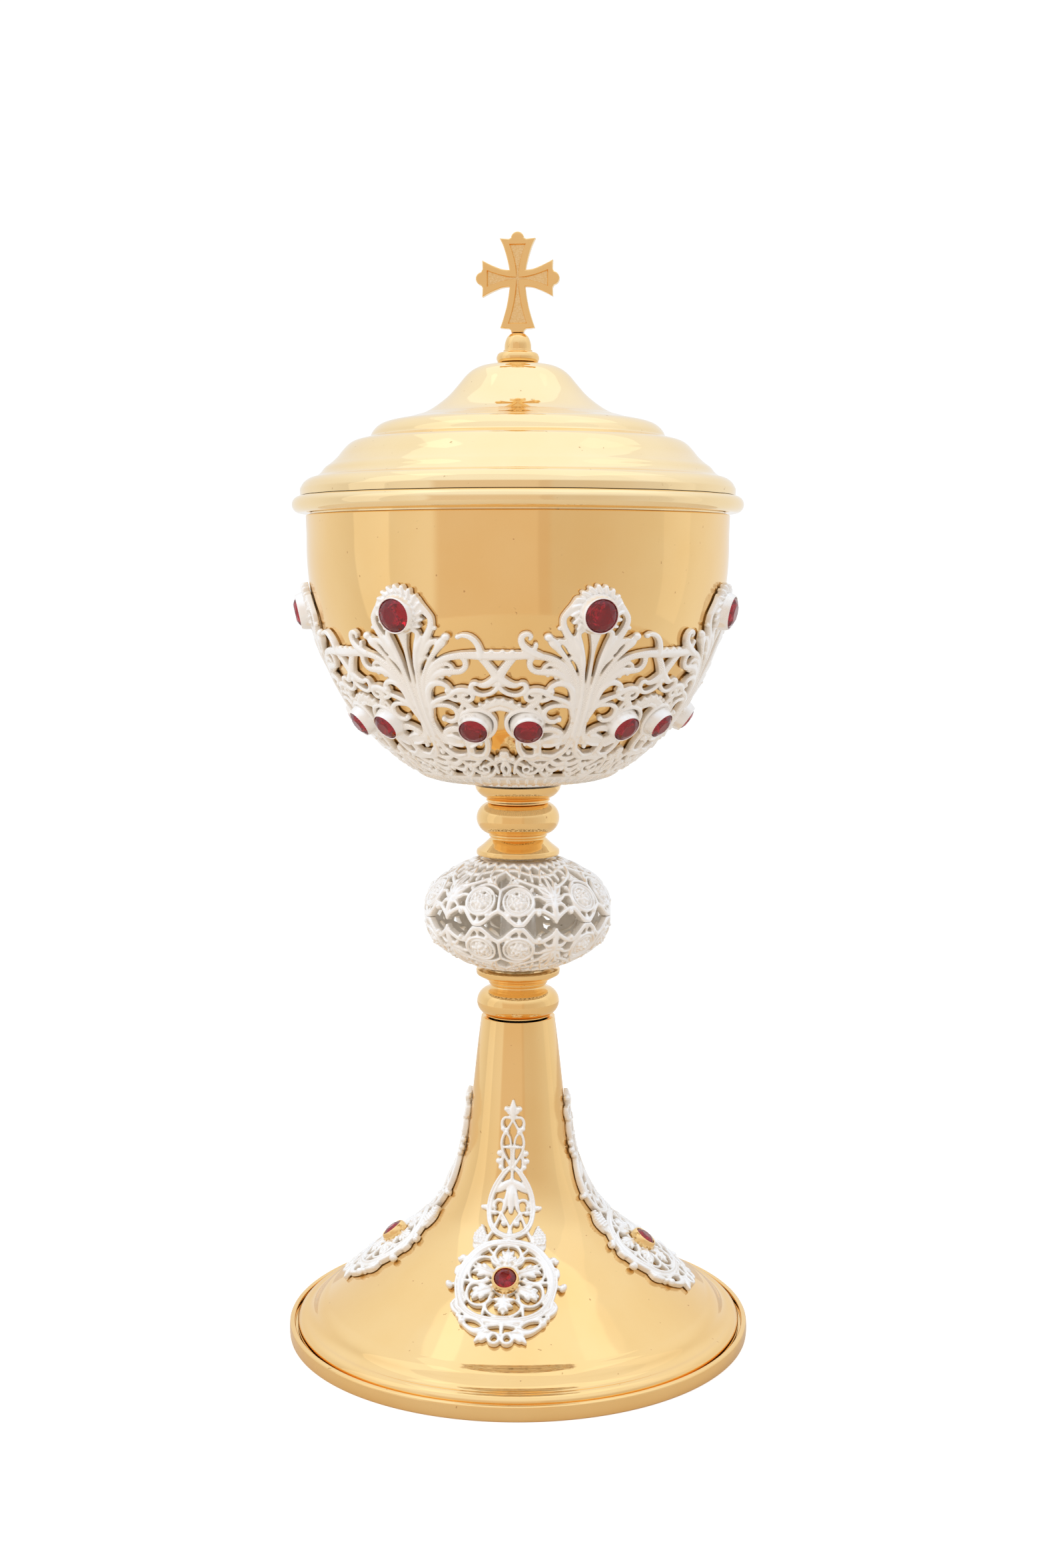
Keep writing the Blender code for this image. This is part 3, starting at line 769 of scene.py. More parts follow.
def addStroke(parts, points, widths, rise, mirror=False):
    widths = [widths] * len(points) if isinstance(widths, (int, float)) else widths
    stops = np.linspace(0, len(points) - 1, len(widths))
    spread = np.interp(range(len(points)), stops, widths) / 2
    path = flowing([(x, y, r) for (x, y), r in zip(points, spread)], 0.45)
    head, tail = path[0], path[-1]
    caps = []
    for end, beside in ((head, path[1]), (tail, path[-2])):  # round ends
        way = end[:2] - beside[:2]
        way /= max(np.linalg.norm(way), 1e-6)
        caps.append([np.append(end[:2] + way * end[2] * sin(a), end[2] * cos(a)) for a in (0.7, 1.2, 1.5)])
    path = caps[0][::-1] + path + caps[1]
    curve = bpy.data.curves.new("stroke", "CURVE")
    curve.dimensions = "3D"
    curve.bevel_depth = 1
    curve.bevel_resolution = 3
    curve.use_fill_caps = True
    spline = curve.splines.new("POLY")
    spline.points.add(len(path) - 1)
    for point, (x, y, r) in zip(spline.points, path):
        point.co = (x, y, 0, 1)
        point.radius = max(r, 0.04)
    holder = bpy.data.objects.new("stroke", curve)
    mesh = bpy.data.meshes.new_from_object(holder)
    bpy.data.objects.remove(holder)
    bpy.data.curves.remove(curve)
    co = np.zeros(len(mesh.vertices) * 3)
    mesh.vertices.foreach_get("co", co)
    co = co.reshape(-1, 3)
    top = max(spread)
    crown = castWork["edge"] + (rise - castWork["edge"]) * np.clip(co[:, 2] / top, 0, 1)
    co[:, 2] = np.where(co[:, 2] > 1e-4, crown, castWork["back"])
    mesh.vertices.foreach_set("co", co.ravel())
    parts.append(mesh)
    if mirror is not False:
        twin = mesh.copy()
        twin.transform(Matrix.Translation((2 * mirror, 0, 0)) @ Matrix.Scale(-1, 4, (1, 0, 0)))
        twin.flip_normals()
        parts.append(twin)


def addBall(parts, x, y, radius, rise, mirror=False):
    for side in (x, 2 * mirror - x) if mirror is not False else (x,):
        bm = bmesh.new()
        place = Matrix.Translation((side, y, 0)) @ Matrix.Diagonal((radius, radius, 1, 1))
        bmesh.ops.create_uvsphere(bm, u_segments=16, v_segments=12, radius=1.0, matrix=place)
        for vert in bm.verts:
            vert.co.z = vert.co.z * rise if vert.co.z > 0 else vert.co.z * -castWork["back"]
        parts.append(meshOf("ball", bm))


def addStrokes(parts, strokes, mirror=False):
    for points, widths, rise in strokes:
        addStroke(parts, points, widths, rise, mirror)


def oval(x, y, wide, high, half=12):  # a closed loop with twice that many points
    turns = [k * pi / half for k in range(2 * half + 1)]
    return [(x + wide * cos(turn), y + high * sin(turn)) for turn in turns]


def castPanel(parts, name):  # one skin over all the strokes, thinned to a sensible size
    bm = bmesh.new()
    for mesh in parts:
        bm.from_mesh(mesh)
        bpy.data.meshes.remove(mesh)
    mesh = meshOf(name, bm)
    holder = addObject(name, mesh)
    skin = holder.modifiers.new("skin", "REMESH")
    skin.mode = "VOXEL"
    skin.voxel_size = castWork["voxel"]
    soft = holder.modifiers.new("soft", "SMOOTH")
    soft.factor = 0.5
    soft.iterations = 2
    thin = holder.modifiers.new("thin", "DECIMATE")
    thin.ratio = castWork["keep"]
    done = settled(holder)
    bpy.data.objects.remove(holder)
    bpy.data.meshes.remove(mesh)
    flat = np.zeros(len(done.vertices) * 3)
    done.vertices.foreach_get("co", flat)
    print(name, len(done.polygons), "faces")
    return done, flat.reshape(-1, 3)


def wrapped(done, rows, flat, full):  # a copy on its surface, with how high each point stands
    mesh = done.copy()
    mesh.vertices.foreach_set("co", (rows * mm).ravel())
    relief = mesh.attributes.new("relief", "FLOAT", "POINT")
    relief.data.foreach_set("value", np.clip(flat[:, 2] / full, 0, 1).astype(np.float32))
    return mesh


def wrapPanel(name, done, flat, rows, replaced=()):
    mesh = wrapped(done, rows, flat, 1.7)
    mesh.name = name
    mesh.polygons.foreach_set("use_smooth", [True] * len(mesh.polygons))
    mesh.update()
    placePiece(name, mesh, silverCast, "vessel", replaced)


def along(line):  # arc length of each point of a section
    line = np.array(line, float)
    return line, np.concatenate(([0], np.cumsum(np.hypot(*np.diff(line, axis=0).T))))


def around(line, lengths, flat, reach, azimuth):  # x is an angle times reach, y a length on the section
    r = np.interp(flat[:, 1], lengths, line[:, 0])
    z = np.interp(flat[:, 1], lengths, line[:, 1])
    slope = np.gradient(line, lengths, axis=0)
    dr = np.interp(flat[:, 1], lengths, slope[:, 0])
    dz = np.interp(flat[:, 1], lengths, slope[:, 1])
    size = np.hypot(dr, dz)
    out = r + flat[:, 2] * dz / size
    up = z - flat[:, 2] * dr / size
    turn = radians(azimuth) + flat[:, 0] / (reach if reach else r)
    return np.stack((out * np.sin(turn), -out * np.cos(turn), up), axis=1)


# the cage round the cup: one lobe, drawn from the valley on its left to the valley on its right

cage = {
    "reach": 50,  # radius at which the drawing is true to width
    "offset": 0.95,  # from the cup to the middle of the casting
    "bolder": 1.28,  # share by which the strokes are wider than drawn
    "depth": 0.8,
    "smallSeat": 34.9,
    "largeSeat": 66.75,
    "floor": 152.35,
    "top": 80,  # height of the whole drawing
    "overSeat": 13.6,  # what lies above the large stone once it is on the cup
}
lobeMiddle = pi * cage["reach"] / lobes  # where the drawing mirrors
cageStrokes = [  # points, widths, rise
    (((21.5, 31), (21.4, 40), (21.2, 45), (20.7, 50), (20.1, 54), (19.2, 58), (18.5, 60.4), (18.5, 61.6),
     (19.2, 62.1)), (1.3, 1.2, 1, 0.9, 1.3, 1.3, 1.2, 1.1, 0.9), 1.5),
    (((21, 33), (20.9, 43), (20.6, 48), (19.9, 52), (18.6, 56), (17, 59.2), (15.6, 61.7), (14.9, 63.6),
     (14.9, 65.4), (15.9, 66.9), (17.1, 68.2), (18, 69.6)), (1.2, 1.2, 1, 1.1, 1.7, 1.7, 1.6, 1.4, 1.3,
     1.5, 1.8, 1.9), 1.35),
    (((20.6, 46), (20.1, 50.5), (19, 53.6), (17.4, 56.6), (15.8, 58.6), (14.2, 59.3)), (0.8, 0.9, 1.3,
     1.6, 1.5, 1.1), 1.2),
    (((20, 54.5), (19, 57.5), (17.6, 60)), (1, 1.6, 1.2), 1.7),
    (((19.2, 53.2), (18.2, 54.4), (17.6, 54.7)), (1.2, 1.3, 1), 1.2),
    (((18.3, 55.4), (17, 56.3), (16.4, 57.2)), (1, 1, 0.8), 1.1),
    (((20.4, 40), (19.9, 45.5), (18.9, 49.2), (17.6, 52), (16, 54.6), (14.2, 57), (12.9, 58.8),
     (11.9, 60.2)), (1.4, 1.3, 1.15, 1.05, 1.1, 1.5, 2.1, 1.2), 1.5),
    (((19.9, 41), (18.9, 46.3), (17.4, 49.8), (15.3, 52.6), (12.8, 54.3), (10, 55.1), (6.8, 55.4),
     (3.2, 55.3), (-0.3, 55.3)), (1.4, 1.4, 1.5, 1.6, 1.6, 1.7, 1.9, 2.1, 2.2), 1.25),
    (((18.4, 47), (16.6, 50.3), (14.4, 52.3), (12.4, 52.9), (11.2, 52.3), (10.9, 51.6)), (1.3, 1.4, 1.3,
     1, 0.9, 0.8), 1.1),
    (((8.2, 55), (7.6, 53.6), (7.8, 52), (9, 50.9), (11, 50.7), (13.4, 50.6), (15.6, 49.6), (17.4, 47.4),
     (18.6, 44.4)), (1.4, 1.3, 1.3, 1.4, 1.6, 2, 1.9, 1.6, 1.3), 1.3),
    (((4, 54.9), (2.4, 52.9), (1.1, 50.9), (0.1, 49.2), (-1, 47.6)), (1.5, 1.8, 2, 2.2, 2), 1.15),
    (((-0.6, 50), (0.9, 48.6), (2.5, 47.4), (4, 46.9), (5.3, 47.2)), (1.6, 1.9, 1.8, 1.4, 1), 1.3),
    (((-0.4, 47.6), (0.6, 45.8), (2.2, 44.5), (4.2, 44), (5.9, 44.6), (6.9, 45.9), (6.6, 47.2),
     (5.8, 47.5)), (1.3, 1.2, 1.1, 1.1, 1.2, 1.3, 1.2, 1.1), 1.35),
    (((13.2, 43.6), (11.9, 44.6), (10.3, 45.4), (8.4, 45.4), (7, 44.4), (6.9, 43), (8, 42.2),
     (9.3, 42.8), (9.2, 43.9), (8.4, 44)), (1.4, 1.5, 1.5, 1.4, 1.2, 1.1, 1, 0.9, 0.9, 0.9), 1.4),
    (((10.3, 44.6), (10.2, 43), (9.4, 41.4), (8, 40.3)), (1.2, 1.5, 1.6, 1.6), 1),
    (((19.6, 39), (19.1, 43.2), (18.2, 45.8), (16.6, 47.3), (14.8, 47.4), (13.3, 46.6), (12.8, 45.5),
     (13.3, 44.9)), (1.4, 1.5, 1.6, 1.7, 1.5, 1.3, 1.4, 1.4), 1.5),
    (((20.1, 37), (18.9, 40.4), (17.1, 41.9), (15.1, 42.8), (13.4, 43.2), (12.2, 42.6), (11, 42.2)),
     (1.3, 1.4, 1.4, 1.3, 1.2, 1.2, 1.1), 1.35),
    (((20.3, 35.5), (19.9, 38.6), (18.2, 40.4), (16.2, 40.6), (14.2, 40.5), (12.5, 39.6), (11.9, 38.1),
     (12.3, 36.6), (13.6, 35.6), (15.2, 35.5), (16.2, 36.2)), (1.2, 1.2, 1.3, 1.2, 1.2, 1.3, 1.4, 1.5,
     1.4, 1.3, 1.1), 1.35),
    (((0, 41.7), (2.2, 41), (4.2, 40), (6, 39.4), (8, 39.8), (9.4, 40.6)), (2.2, 2.2, 1.9, 1.4, 1.2, 1),
     1.1),
    (((0, 40), (1.6, 39.6), (3, 38.9)), (1.4, 1.3, 0.9), 1.2),
    (((10.2, 40.4), (11.2, 38.2), (11.8, 36.2), (12, 34.6)), (1, 1, 1.2, 1.2), 1),
    (((9, 31.6), (11.4, 32.6), (14, 33), (16, 32.6), (17.6, 31.6)), (1.6, 1.6, 1.7, 1.6, 1.8), 1.2),
    (((20.8, 40), (20.6, 35), (20.2, 31.5), (19, 29.8)), (1.3, 1.4, 1.9, 2), 1.15),
    (((5.6, 32.2), (4.9, 29.6), (5.2, 26.7), (6.7, 24.4), (9.3, 23), (12.2, 23.4), (14.6, 23.2),
     (17.6, 23.7), (19.9, 25.2), (21.2, 27.6), (21.6, 30), (21.6, 32)), (1.6, 1.7, 1.8, 1.9, 2, 2, 1.9,
     1.9, 1.9, 1.8, 1.7, 1.7), 1.25),
    (((12, 23.5), (11.3, 26.2), (11.2, 28.6)), (2.6, 2.4, 2.2), 1.2),
    (((12, 28.2), (14.4, 29.4), (16.8, 29.6), (19, 29.2)), (1.8, 3.2, 3.6, 2.6), 1.3),
    (((10.6, 28.6), (8.6, 29.6), (7.2, 30.4)), (2.2, 3.4, 2.6), 1.3),
    (((13.2, 28), (15.6, 28.2), (17.8, 28.9)), (0.8, 0.8, 0.7), 1.75),
    (((13, 30.2), (15.2, 31), (17.2, 31)), (0.9, 0.9, 0.8), 1.7),
    (((10.4, 27.6), (8.6, 28.4), (7, 29.4)), (0.8, 0.8, 0.7), 1.75),
    (((9.8, 31.4), (8.2, 31.5), (6.8, 31.6)), (0.8, 0.8, 0.6), 1.6),
    (((7, 24.6), (9.6, 24.4), (11.8, 25.4)), (0.9, 1, 0.8), 1.6),
    (((19.6, 26.2), (16.8, 24.4), (13.6, 24.6)), (0.9, 1, 0.8), 1.6),
    (((-0.2, 24.2), (1.6, 22.6), (3.6, 21.4), (5.6, 20.8), (6.8, 20.2)), (2.6, 1.9, 1.4, 1.4, 1.3), 1.2),
    (((6.6, 23.6), (5, 22.4), (3.8, 20), (3.4, 17.4)), (1.4, 1.2, 1.3, 1.4), 1.2),
    (((9.2, 22.2), (11, 20.8), (13.2, 20), (15.4, 20.6), (16.6, 22.6)), (1.5, 1.4, 1.6, 1.5, 1.3), 1.25),
    (((13.2, 20.6), (12.6, 18.2), (10.4, 16.8), (8.2, 17)), (1.4, 1.4, 1.3, 1.2), 1.3),
    (((16.2, 22.8), (18.2, 21.2), (20.4, 20.6), (22.4, 21.4)), (1.6, 1.6, 1.5, 1.7), 1.3),
    (((15.6, 20.2), (17.4, 18.4), (19.6, 18.4), (21.2, 19.4)), (1.3, 1.4, 1.4, 1.3), 1.25),
    (((13.4, 18.6), (15.2, 16.6), (17.6, 15.6), (19.4, 16.6)), (1.3, 1.4, 1.5, 1.2), 1.2),
    (((18.6, 24.6), (20.6, 23.2), (22.4, 22.8)), (1.4, 1.3, 1.5), 1.2),
    (((0, 21.6), (1.4, 19.4), (0.6, 17), (-1.2, 16.2)), (1.6, 1.6, 1.5, 1.4), 1.25),
    (((4, 18.6), (6, 16.4), (8.6, 15.2), (11.4, 15.4)), (1.4, 1.5, 1.5, 1.4), 1.2),
]
cageTendrils = [  # not mirrored
    (((10, 55.3), (8.2, 56.2), (6.5, 57.5), (5.6, 59.1), (5.8, 60.6), (6.9, 61.2), (7.8, 60.5),
     (7.5, 59.8)), (2.2, 2.3, 2.2, 1.8, 1.6, 1.5, 1.2, 0.9), 1.4),
    (((8, 56.6), (8.8, 57.6), (8.9, 58.3)), (1.4, 1.2, 1.3), 1.2),
    (((41, 55), (41, 56.8), (40.3, 58.8), (39, 60.3), (37.4, 60.8), (36.3, 60.5)), (1.9, 1.8, 1.7, 1.6,
     1.4, 1.1), 1.4),
]
cageBalls = [  # x, y, radius, rise, mirrored with the drawing
    (11.7, 60.3, 1.15, 1.7), (19, 61.9, 0.75, 1.4), (14.1, 62.6, 0.6, 1), (13.3, 45.3, 0.85, 1.6),
    (16.3, 36.2, 0.9, 1.6), (5.6, 47.4, 0.75, 1.4), (12, 49.7, 0.6, 1), (14.1, 49.1, 0.65, 1),
    (1.3, 56.3, 0.75, 1.1), (3.5, 56.2, 0.8, 1.1), (3.2, 41.9, 0.7, 1.2), (1, 42.5, 0.7, 1.2),
    (5.2, 41, 0.6, 1.2), (9, 31, 1, 1.5), (17.8, 27.4, 0.8, 1.5), (7, 28.6, 0.8, 1.5),
    (15.6, 31, 0.8, 1.4), (0, 23.2, 1.1, 1.5), (3, 22.8, 0.8, 1.3), (14.6, 18.8, 0.9, 1.4),
    (22.44, 19, 1.2, 1.4), (17.2, 16.9, 0.8, 1.3), (10.4, 19, 0.8, 1.3), (22.44, 27.6, 0.8, 1.2),
    (22.44, 25.2, 1, 1.4),
]


def drawCage():
    parts = []
    middle = lobeMiddle
    spine = ((middle, 30), (middle, 40), (middle, 48), (middle, 55), (middle, 58.5), (middle, 62.2))
    addStroke(parts, spine, (2.6, 1.8, 1.3, 1.1, 1.9, 3.8), 1.6)
    for points, widths, rise in cageStrokes:
        wider = np.multiply(widths, cage["bolder"])
        addStroke(parts, points, wider.tolist(), rise, middle)
    addStrokes(parts, cageTendrils)
    addBall(parts, 36.1, 60.4, 0.75, 1.4)
    for x, y, radius, rise in cageBalls:
        addBall(parts, x, y, radius, rise, middle)
    addStroke(parts, oval(8.1, 19, 1.35, 1.35, 4), 1, 1.4, middle)
    seats = ((middle, cage["largeSeat"], 4.75, 5.2, False), (6.6, cage["smallSeat"], 5.1, 4.55, middle))
    for x, y, wide, high, mirror in seats:
        addStroke(parts, oval(x, y, wide, high), 1.5, 1.3, mirror)
    for k in range(15):  # slanting beads over the upper part of the large seat, -38 to 218 degrees round
        angle = radians(-38 + 256 * k / 14)
        inner = (middle + 4.3 * cos(angle - 0.1), cage["largeSeat"] + 4.8 * sin(angle - 0.1))
        outer = (middle + 5.7 * cos(angle + 0.06), cage["largeSeat"] + 6.25 * sin(angle + 0.06))
        addStroke(parts, (inner, outer), (1.3, 1.2), 2.0)
    for y in (13.4, 11.4, 9.4, 7.2, 5.0, 2.8, 0.6):  # closed floor under the cup
        addStroke(parts, ((-1.5, y), (middle, y), (2 * middle + 1.5, y)), 2.4, 0.7)
    for k in range(6):
        x = middle / 5 * k
        addStroke(parts, ((x, 1.2), (x + 0.8, 7), (x, 13.5)), (1.2, 1.6, 1.4), 1.2, middle)
    return parts


def cageSection():  # the line that the drawing follows: across the floor, then up the cup
    bottom = cup["floor"]
    heights = [bottom + 0.2 + (205 - bottom) * (i / 160) ** 1.3 for i in range(161)]
    outerLine = offsetLine([(cupAt(z)[0], z) for z in heights], -cage["offset"])
    floorLine = [(12.0, cage["floor"]), (18.0, cage["floor"]), (21.5, cage["floor"] + 0.05)]
    corner = [p for p in outerLine if p[0] > 24.5]
    return along(flowing(floorLine + [corner[0]], 0.8) + [np.array(p) for p in corner[1:]])


def makeCage():
    done, flat = castPanel(drawCage(), "cagePanel")
    line, lengths = cageSection()
    atSmall = np.interp(jewels["small"]["height"], line[:, 1], lengths)
    atLarge = np.interp(jewels["large"]["height"], line[:, 1], lengths)
    drawn = (0, cage["smallSeat"], cage["largeSeat"], cage["top"])
    flat = flat.copy()
    flat[:, 1] = np.interp(flat[:, 1], drawn, (0, atSmall, atLarge, atLarge + cage["overSeat"]))
    flat[:, 2] *= cage["depth"]
    for lobe in range(lobes):
        rows = around(line, lengths, flat, cage["reach"], 360 * lobe / lobes)
        wrapPanel(f"cageLobe{lobe + 1}", done, flat, rows, ["bowl_cage"] if lobe == 0 else ())


makeCage()
print("cage made")


# the long castings on the foot, drawn in true millimetres with the middle line at x = 0

casting = {
    "seat": 27.3,  # middle of its stone on the drawing
    "shift": 1.7,  # how far the drawing sits up the bell from the stone's height
    "offset": 0.8,
    "depth": 0.78,
}
footStrokes = [
    (((0, 37.7), (4, 37.1), (7.5, 35.2), (10.2, 32.2), (12.2, 28.7), (13.1, 25), (12.8, 21.5),
     (11.9, 18.4), (10.2, 16), (7.5, 14.6), (4, 13.9), (0, 13.7)), 1.15, 1.35),
    (((0, 36.9), (3.6, 36.3), (6.9, 34.4), (9.4, 31.5), (11.3, 28.2), (12.1, 24.8), (11.8, 21.6),
     (10.9, 18.9), (9.3, 16.8), (6.8, 15.4), (3.6, 14.7), (0, 14.5)), 1.05, 1.65),
    (((5.2, 35), (7, 33.7), (8.9, 31.4), (10.3, 28.4), (11.2, 24.8), (11, 21.8), (10.1, 19.2)), (0.6,
     0.8, 0.9, 0.9, 0.9, 0.8, 0.6), 1.3),
    (((0, 36.3), (1.8, 36), (3, 34.9), (3.4, 33.4), (2.9, 32.2), (2.1, 31.3)), (1, 0.95, 0.9, 0.9, 1,
     0.9), 1.4),
    (((5, 34.9), (4, 33.9), (3.6, 33.2), (4.4, 32.6), (6.2, 32.6), (8, 31.6), (9.4, 29.8), (9.9, 27.6),
     (9.2, 25.8), (7.6, 25.1), (6, 25.5), (4.9, 26.3)), (0.9, 0.9, 0.9, 0.9, 0.95, 0.95, 0.95, 0.95, 1,
     1.1, 1.1, 0.9), 1.4),
    (((10.4, 25.1), (9, 25.1), (7.4, 24.7)), (1, 1, 1.1), 1.35),
    (((7.6, 24.9), (9.2, 24), (9.9, 21.9), (9.4, 19.8), (7.9, 18.5), (6, 18.4), (4.6, 19), (3.6, 20.3)),
     (1.1, 1, 0.95, 0.95, 0.95, 0.95, 1, 1), 1.4),
    (((5.2, 16), (5, 17.4), (4.6, 18.8)), (0.9, 0.9, 1), 1.3),
    (((4.7, 18.9), (4.4, 17.4), (3.2, 16.1), (1.6, 15.4), (0, 15.2)), (1, 0.9, 0.9, 0.9, 0.9), 1.4),
    (((2.2, 30.6), (3.4, 31.2), (4.2, 32.3)), (1.3, 1.4, 0.9), 1.5),
    (((3.4, 24.6), (2.1, 23), (0.9, 22.2)), (1.2, 0.9, 0.9), 1.2),
    (((4.4, 25.9), (5.8, 25.3), (7.4, 25)), (1.2, 1.5, 1), 1.5),
    (((3, 22.2), (3.6, 20.9), (3.9, 19.6)), (0.8, 1.1, 0.9), 1.3),
    (((2.8, 28), (4.6, 28.4), (6.4, 28.8), (8.4, 29.6)), (1.6, 3, 3, 1), 1.5),
    (((3.4, 28.2), (5.6, 28.7), (7.8, 29.4)), (0.6, 0.7, 0.5), 2),
    (((4.2, 28.6), (5.4, 29.8), (6, 30.5)), (1.2, 1.5, 0.9), 1.5),
    (((5.6, 29.2), (7, 29.9), (7.7, 30.4)), (1.2, 1.4, 0.8), 1.5),
    (((5.2, 28.2), (6.6, 27.5), (7.4, 27.2)), (1.2, 1.5, 0.9), 1.5),
    (((7, 28.6), (8.2, 28.3), (8.7, 28.1)), (1.1, 1.2, 0.8), 1.5),
    (((2.8, 24.4), (4.6, 23.2), (6.4, 22.3), (8.4, 21.4)), (1.5, 3, 3.2, 1.2), 1.5),
    (((3.6, 23.7), (5.6, 22.7), (8, 21.6)), (0.6, 0.7, 0.5), 2),
    (((4.2, 23.8), (5.6, 24.1), (6.6, 24.2)), (1.2, 1.3, 0.8), 1.5),
    (((6, 22.9), (7.4, 23.1), (8.2, 23)), (1.3, 1.4, 0.8), 1.5),
    (((5, 22.4), (5.8, 21.2), (6.2, 20.6)), (1.3, 1.5, 0.9), 1.5),
    (((6.8, 21.6), (7.8, 20.8), (8.2, 20.4)), (1.2, 1.3, 0.8), 1.5),
    (((0.6, 31.6), (1.5, 32.3), (2, 33)), (1.2, 1.3, 0.8), 1.5),
    (((0.5, 33), (1.1, 33.9), (1.3, 34.5)), (1.1, 1.2, 0.8), 1.5),
    (((0.7, 20.6), (1.7, 20.3), (2.3, 20.5)), (1.3, 1.4, 0.9), 1.5),
    (((0.6, 19.4), (1.6, 18.7), (2.1, 18.6)), (1.3, 1.3, 0.8), 1.5),
    (((0.4, 18), (1, 17.4)), (1.2, 0.9), 1.5),
    (((12.6, 24), (14, 23.6), (15.2, 23.3)), (0.9, 0.8, 0.9), 1),
    (((10.6, 31.4), (11.8, 31.6), (12.8, 31)), (1.4, 1.8, 1.3), 1.5),
    (((12.4, 28.8), (13.2, 28), (13.6, 26.8)), (1.2, 1.5, 1.2), 1.5),
    (((11.4, 15.4), (12.7, 16.2), (13.3, 17.4), (12.9, 18.8)), (1.2, 1.7, 1.7, 1.2), 1.5),
    (((10.6, 16.4), (11.8, 17.2), (12.2, 18.6)), (1.2, 1.5, 1), 1.6),
    (((8.6, 35.9), (8, 38.2), (7.4, 40.6)), (3, 3.4, 1), 0.9),
    (((4.4, 40.3), (5.6, 38.3), (6.4, 36.3)), (0.9, 0.95, 1.1), 1.2),
    (((11.7, 14.6), (9.6, 14.4), (7.4, 14.3), (5.8, 13.7), (4.7, 12.7)), (1.1, 1, 1, 1.1, 1.1), 1.4),
    (((4, 12.2), (5.6, 11.1), (7.2, 11.1), (8.9, 12), (10.3, 13.2)), (1.4, 2, 1.8, 1.4, 1.3), 1.4),
    (((2.9, 10.4), (4.2, 10.2), (5.5, 9.2), (6.4, 8.3)), (1.6, 2, 1.7, 0.8), 1.4),
    (((3.6, 9.9), (4.2, 9.2), (4.9, 8.6)), (1.2, 1.2, 0.8), 1.3),
    (((1, 13.2), (2.8, 12.9), (4.6, 12.4)), (1, 1, 1.2), 1.3),
    (((1.4, 10.7), (2.9, 11), (4.2, 11.8)), (0.9, 1, 1.2), 1.3),
    (((2.6, 9.9), (3, 9), (2.6, 8.2), (1.7, 7.8), (0.8, 8.1), (0.35, 9), (0.7, 10.1), (1.6, 10.6),
     (2.5, 10.2)), 1.05, 1.4),
    (((0.3, 57.1), (2, 55.1), (3.8, 52), (5, 48.6), (5.35, 45.2), (4.8, 42.3), (3.3, 40.4), (1.5, 39.5),
     (0, 39.1)), (0.7, 0.75, 0.75, 0.75, 0.75, 0.8, 0.8, 0.8, 0.8), 1.3),
    (((1.2, 57.1), (2.7, 55.3), (4.6, 52), (5.75, 48.6), (6.05, 45.2), (5.5, 42), (4, 39.8), (2, 38.8),
     (0, 38.4)), (0.6, 0.75, 0.8, 0.8, 0.8, 0.8, 0.85, 0.85, 0.85), 1.45),
    (((0.1, 56.8), (1.3, 58.9), (2.4, 61), (2.9, 63.2), (2.5, 65.3), (1.6, 66.8), (0.8, 68.2),
     (0, 69.7)), (0.85, 0.85, 0.85, 0.85, 0.85, 0.95, 0.75, 0.8), 1.3),
    (((1.5, 66), (0.8, 65), (0.45, 63.2), (0.35, 60.8), (0.3, 57.6)), (0.8, 0.7, 0.65, 0.65, 0.7), 1.2),
    (((0, 62.5), (1, 62.5), (2.4, 62.4)), (0.75, 0.8, 0.75), 1.2),
    (((0.4, 70.2), (2, 70.2), (2.75, 69.4), (2.85, 68.2), (2.4, 67.1), (1.7, 66.5)), (0.9, 0.85, 0.85,
     0.95, 1.3, 1), 1.25),
    (((0, 71), (0.9, 71.7), (1.5, 72.5)), (1.2, 1.5, 1.3), 1.3),
    (((2.3, 60.6), (2.7, 58.6), (2.6, 56.8), (2.1, 55.4)), (0.8, 0.9, 0.9, 0.8), 1.15),
    (((0, 53.5), (1.5, 52.6), (2.9, 51.5), (4.4, 50.6)), (1.8, 2.3, 2, 1), 1.35),
    (((0.5, 52.6), (1.2, 49.2), (1.8, 46.2)), (1.1, 1.4, 1.3), 1.45),
    (((1.6, 46.6), (1.9, 47.9), (2.7, 48.5), (3.8, 48.3), (4.4, 47.2), (4.3, 46.4)), (0.8, 0.9, 1.1, 1,
     0.9, 0.8), 1.3),
    (((1.7, 46.4), (2.7, 44.4), (3.5, 42.6), (4.2, 40.9)), (1, 0.95, 0.9, 1), 1.2),
    (((2.4, 45), (1.1, 43.2), (0.25, 41.4), (0.1, 39.4)), 0.8, 1.2),
    (((2.3, 44.9), (3.5, 45.3), (4.9, 45.2)), (0.9, 0.8, 0.9), 1.2),
    (((2.2, 43.7), (1.9, 42.9), (1.6, 42.4)), (0.8, 0.8, 1), 1.1),
    (((5.6, 45.7), (6.7, 46.2), (7.5, 46)), (0.9, 1.7, 1.3), 1.4),
]
footSpine = [
    (((0, 30.2), (0, 32.4), (0, 33.8), (0, 35)), (1.6, 3, 2.6, 0.9), 1.5),
    (((0, 31), (0, 34.4)), (0.6, 0.5), 2),
    (((0, 22.2), (0, 20.4), (0, 18.6), (0, 16.7)), (1.4, 3, 2.8, 0.9), 1.5),
    (((0, 21.6), (0, 17.6)), (0.6, 0.5), 2),
    (((0, 13.4), (0, 10.6)), (1.5, 0.9), 1.3),
    (((0, 57), (0, 53)), (0.8, 1.2), 1.3),
    (((0, 53), (0, 49.5), (0, 45.7)), (1.3, 2.3, 1.5), 1.7),
    (((0, 69.8), (0, 72.4), (0, 74.6)), (1.3, 2.1, 0.9), 1.5),
    (((0, 40.4), (0, 37.4)), (1.6, 1.4), 1.2),
]
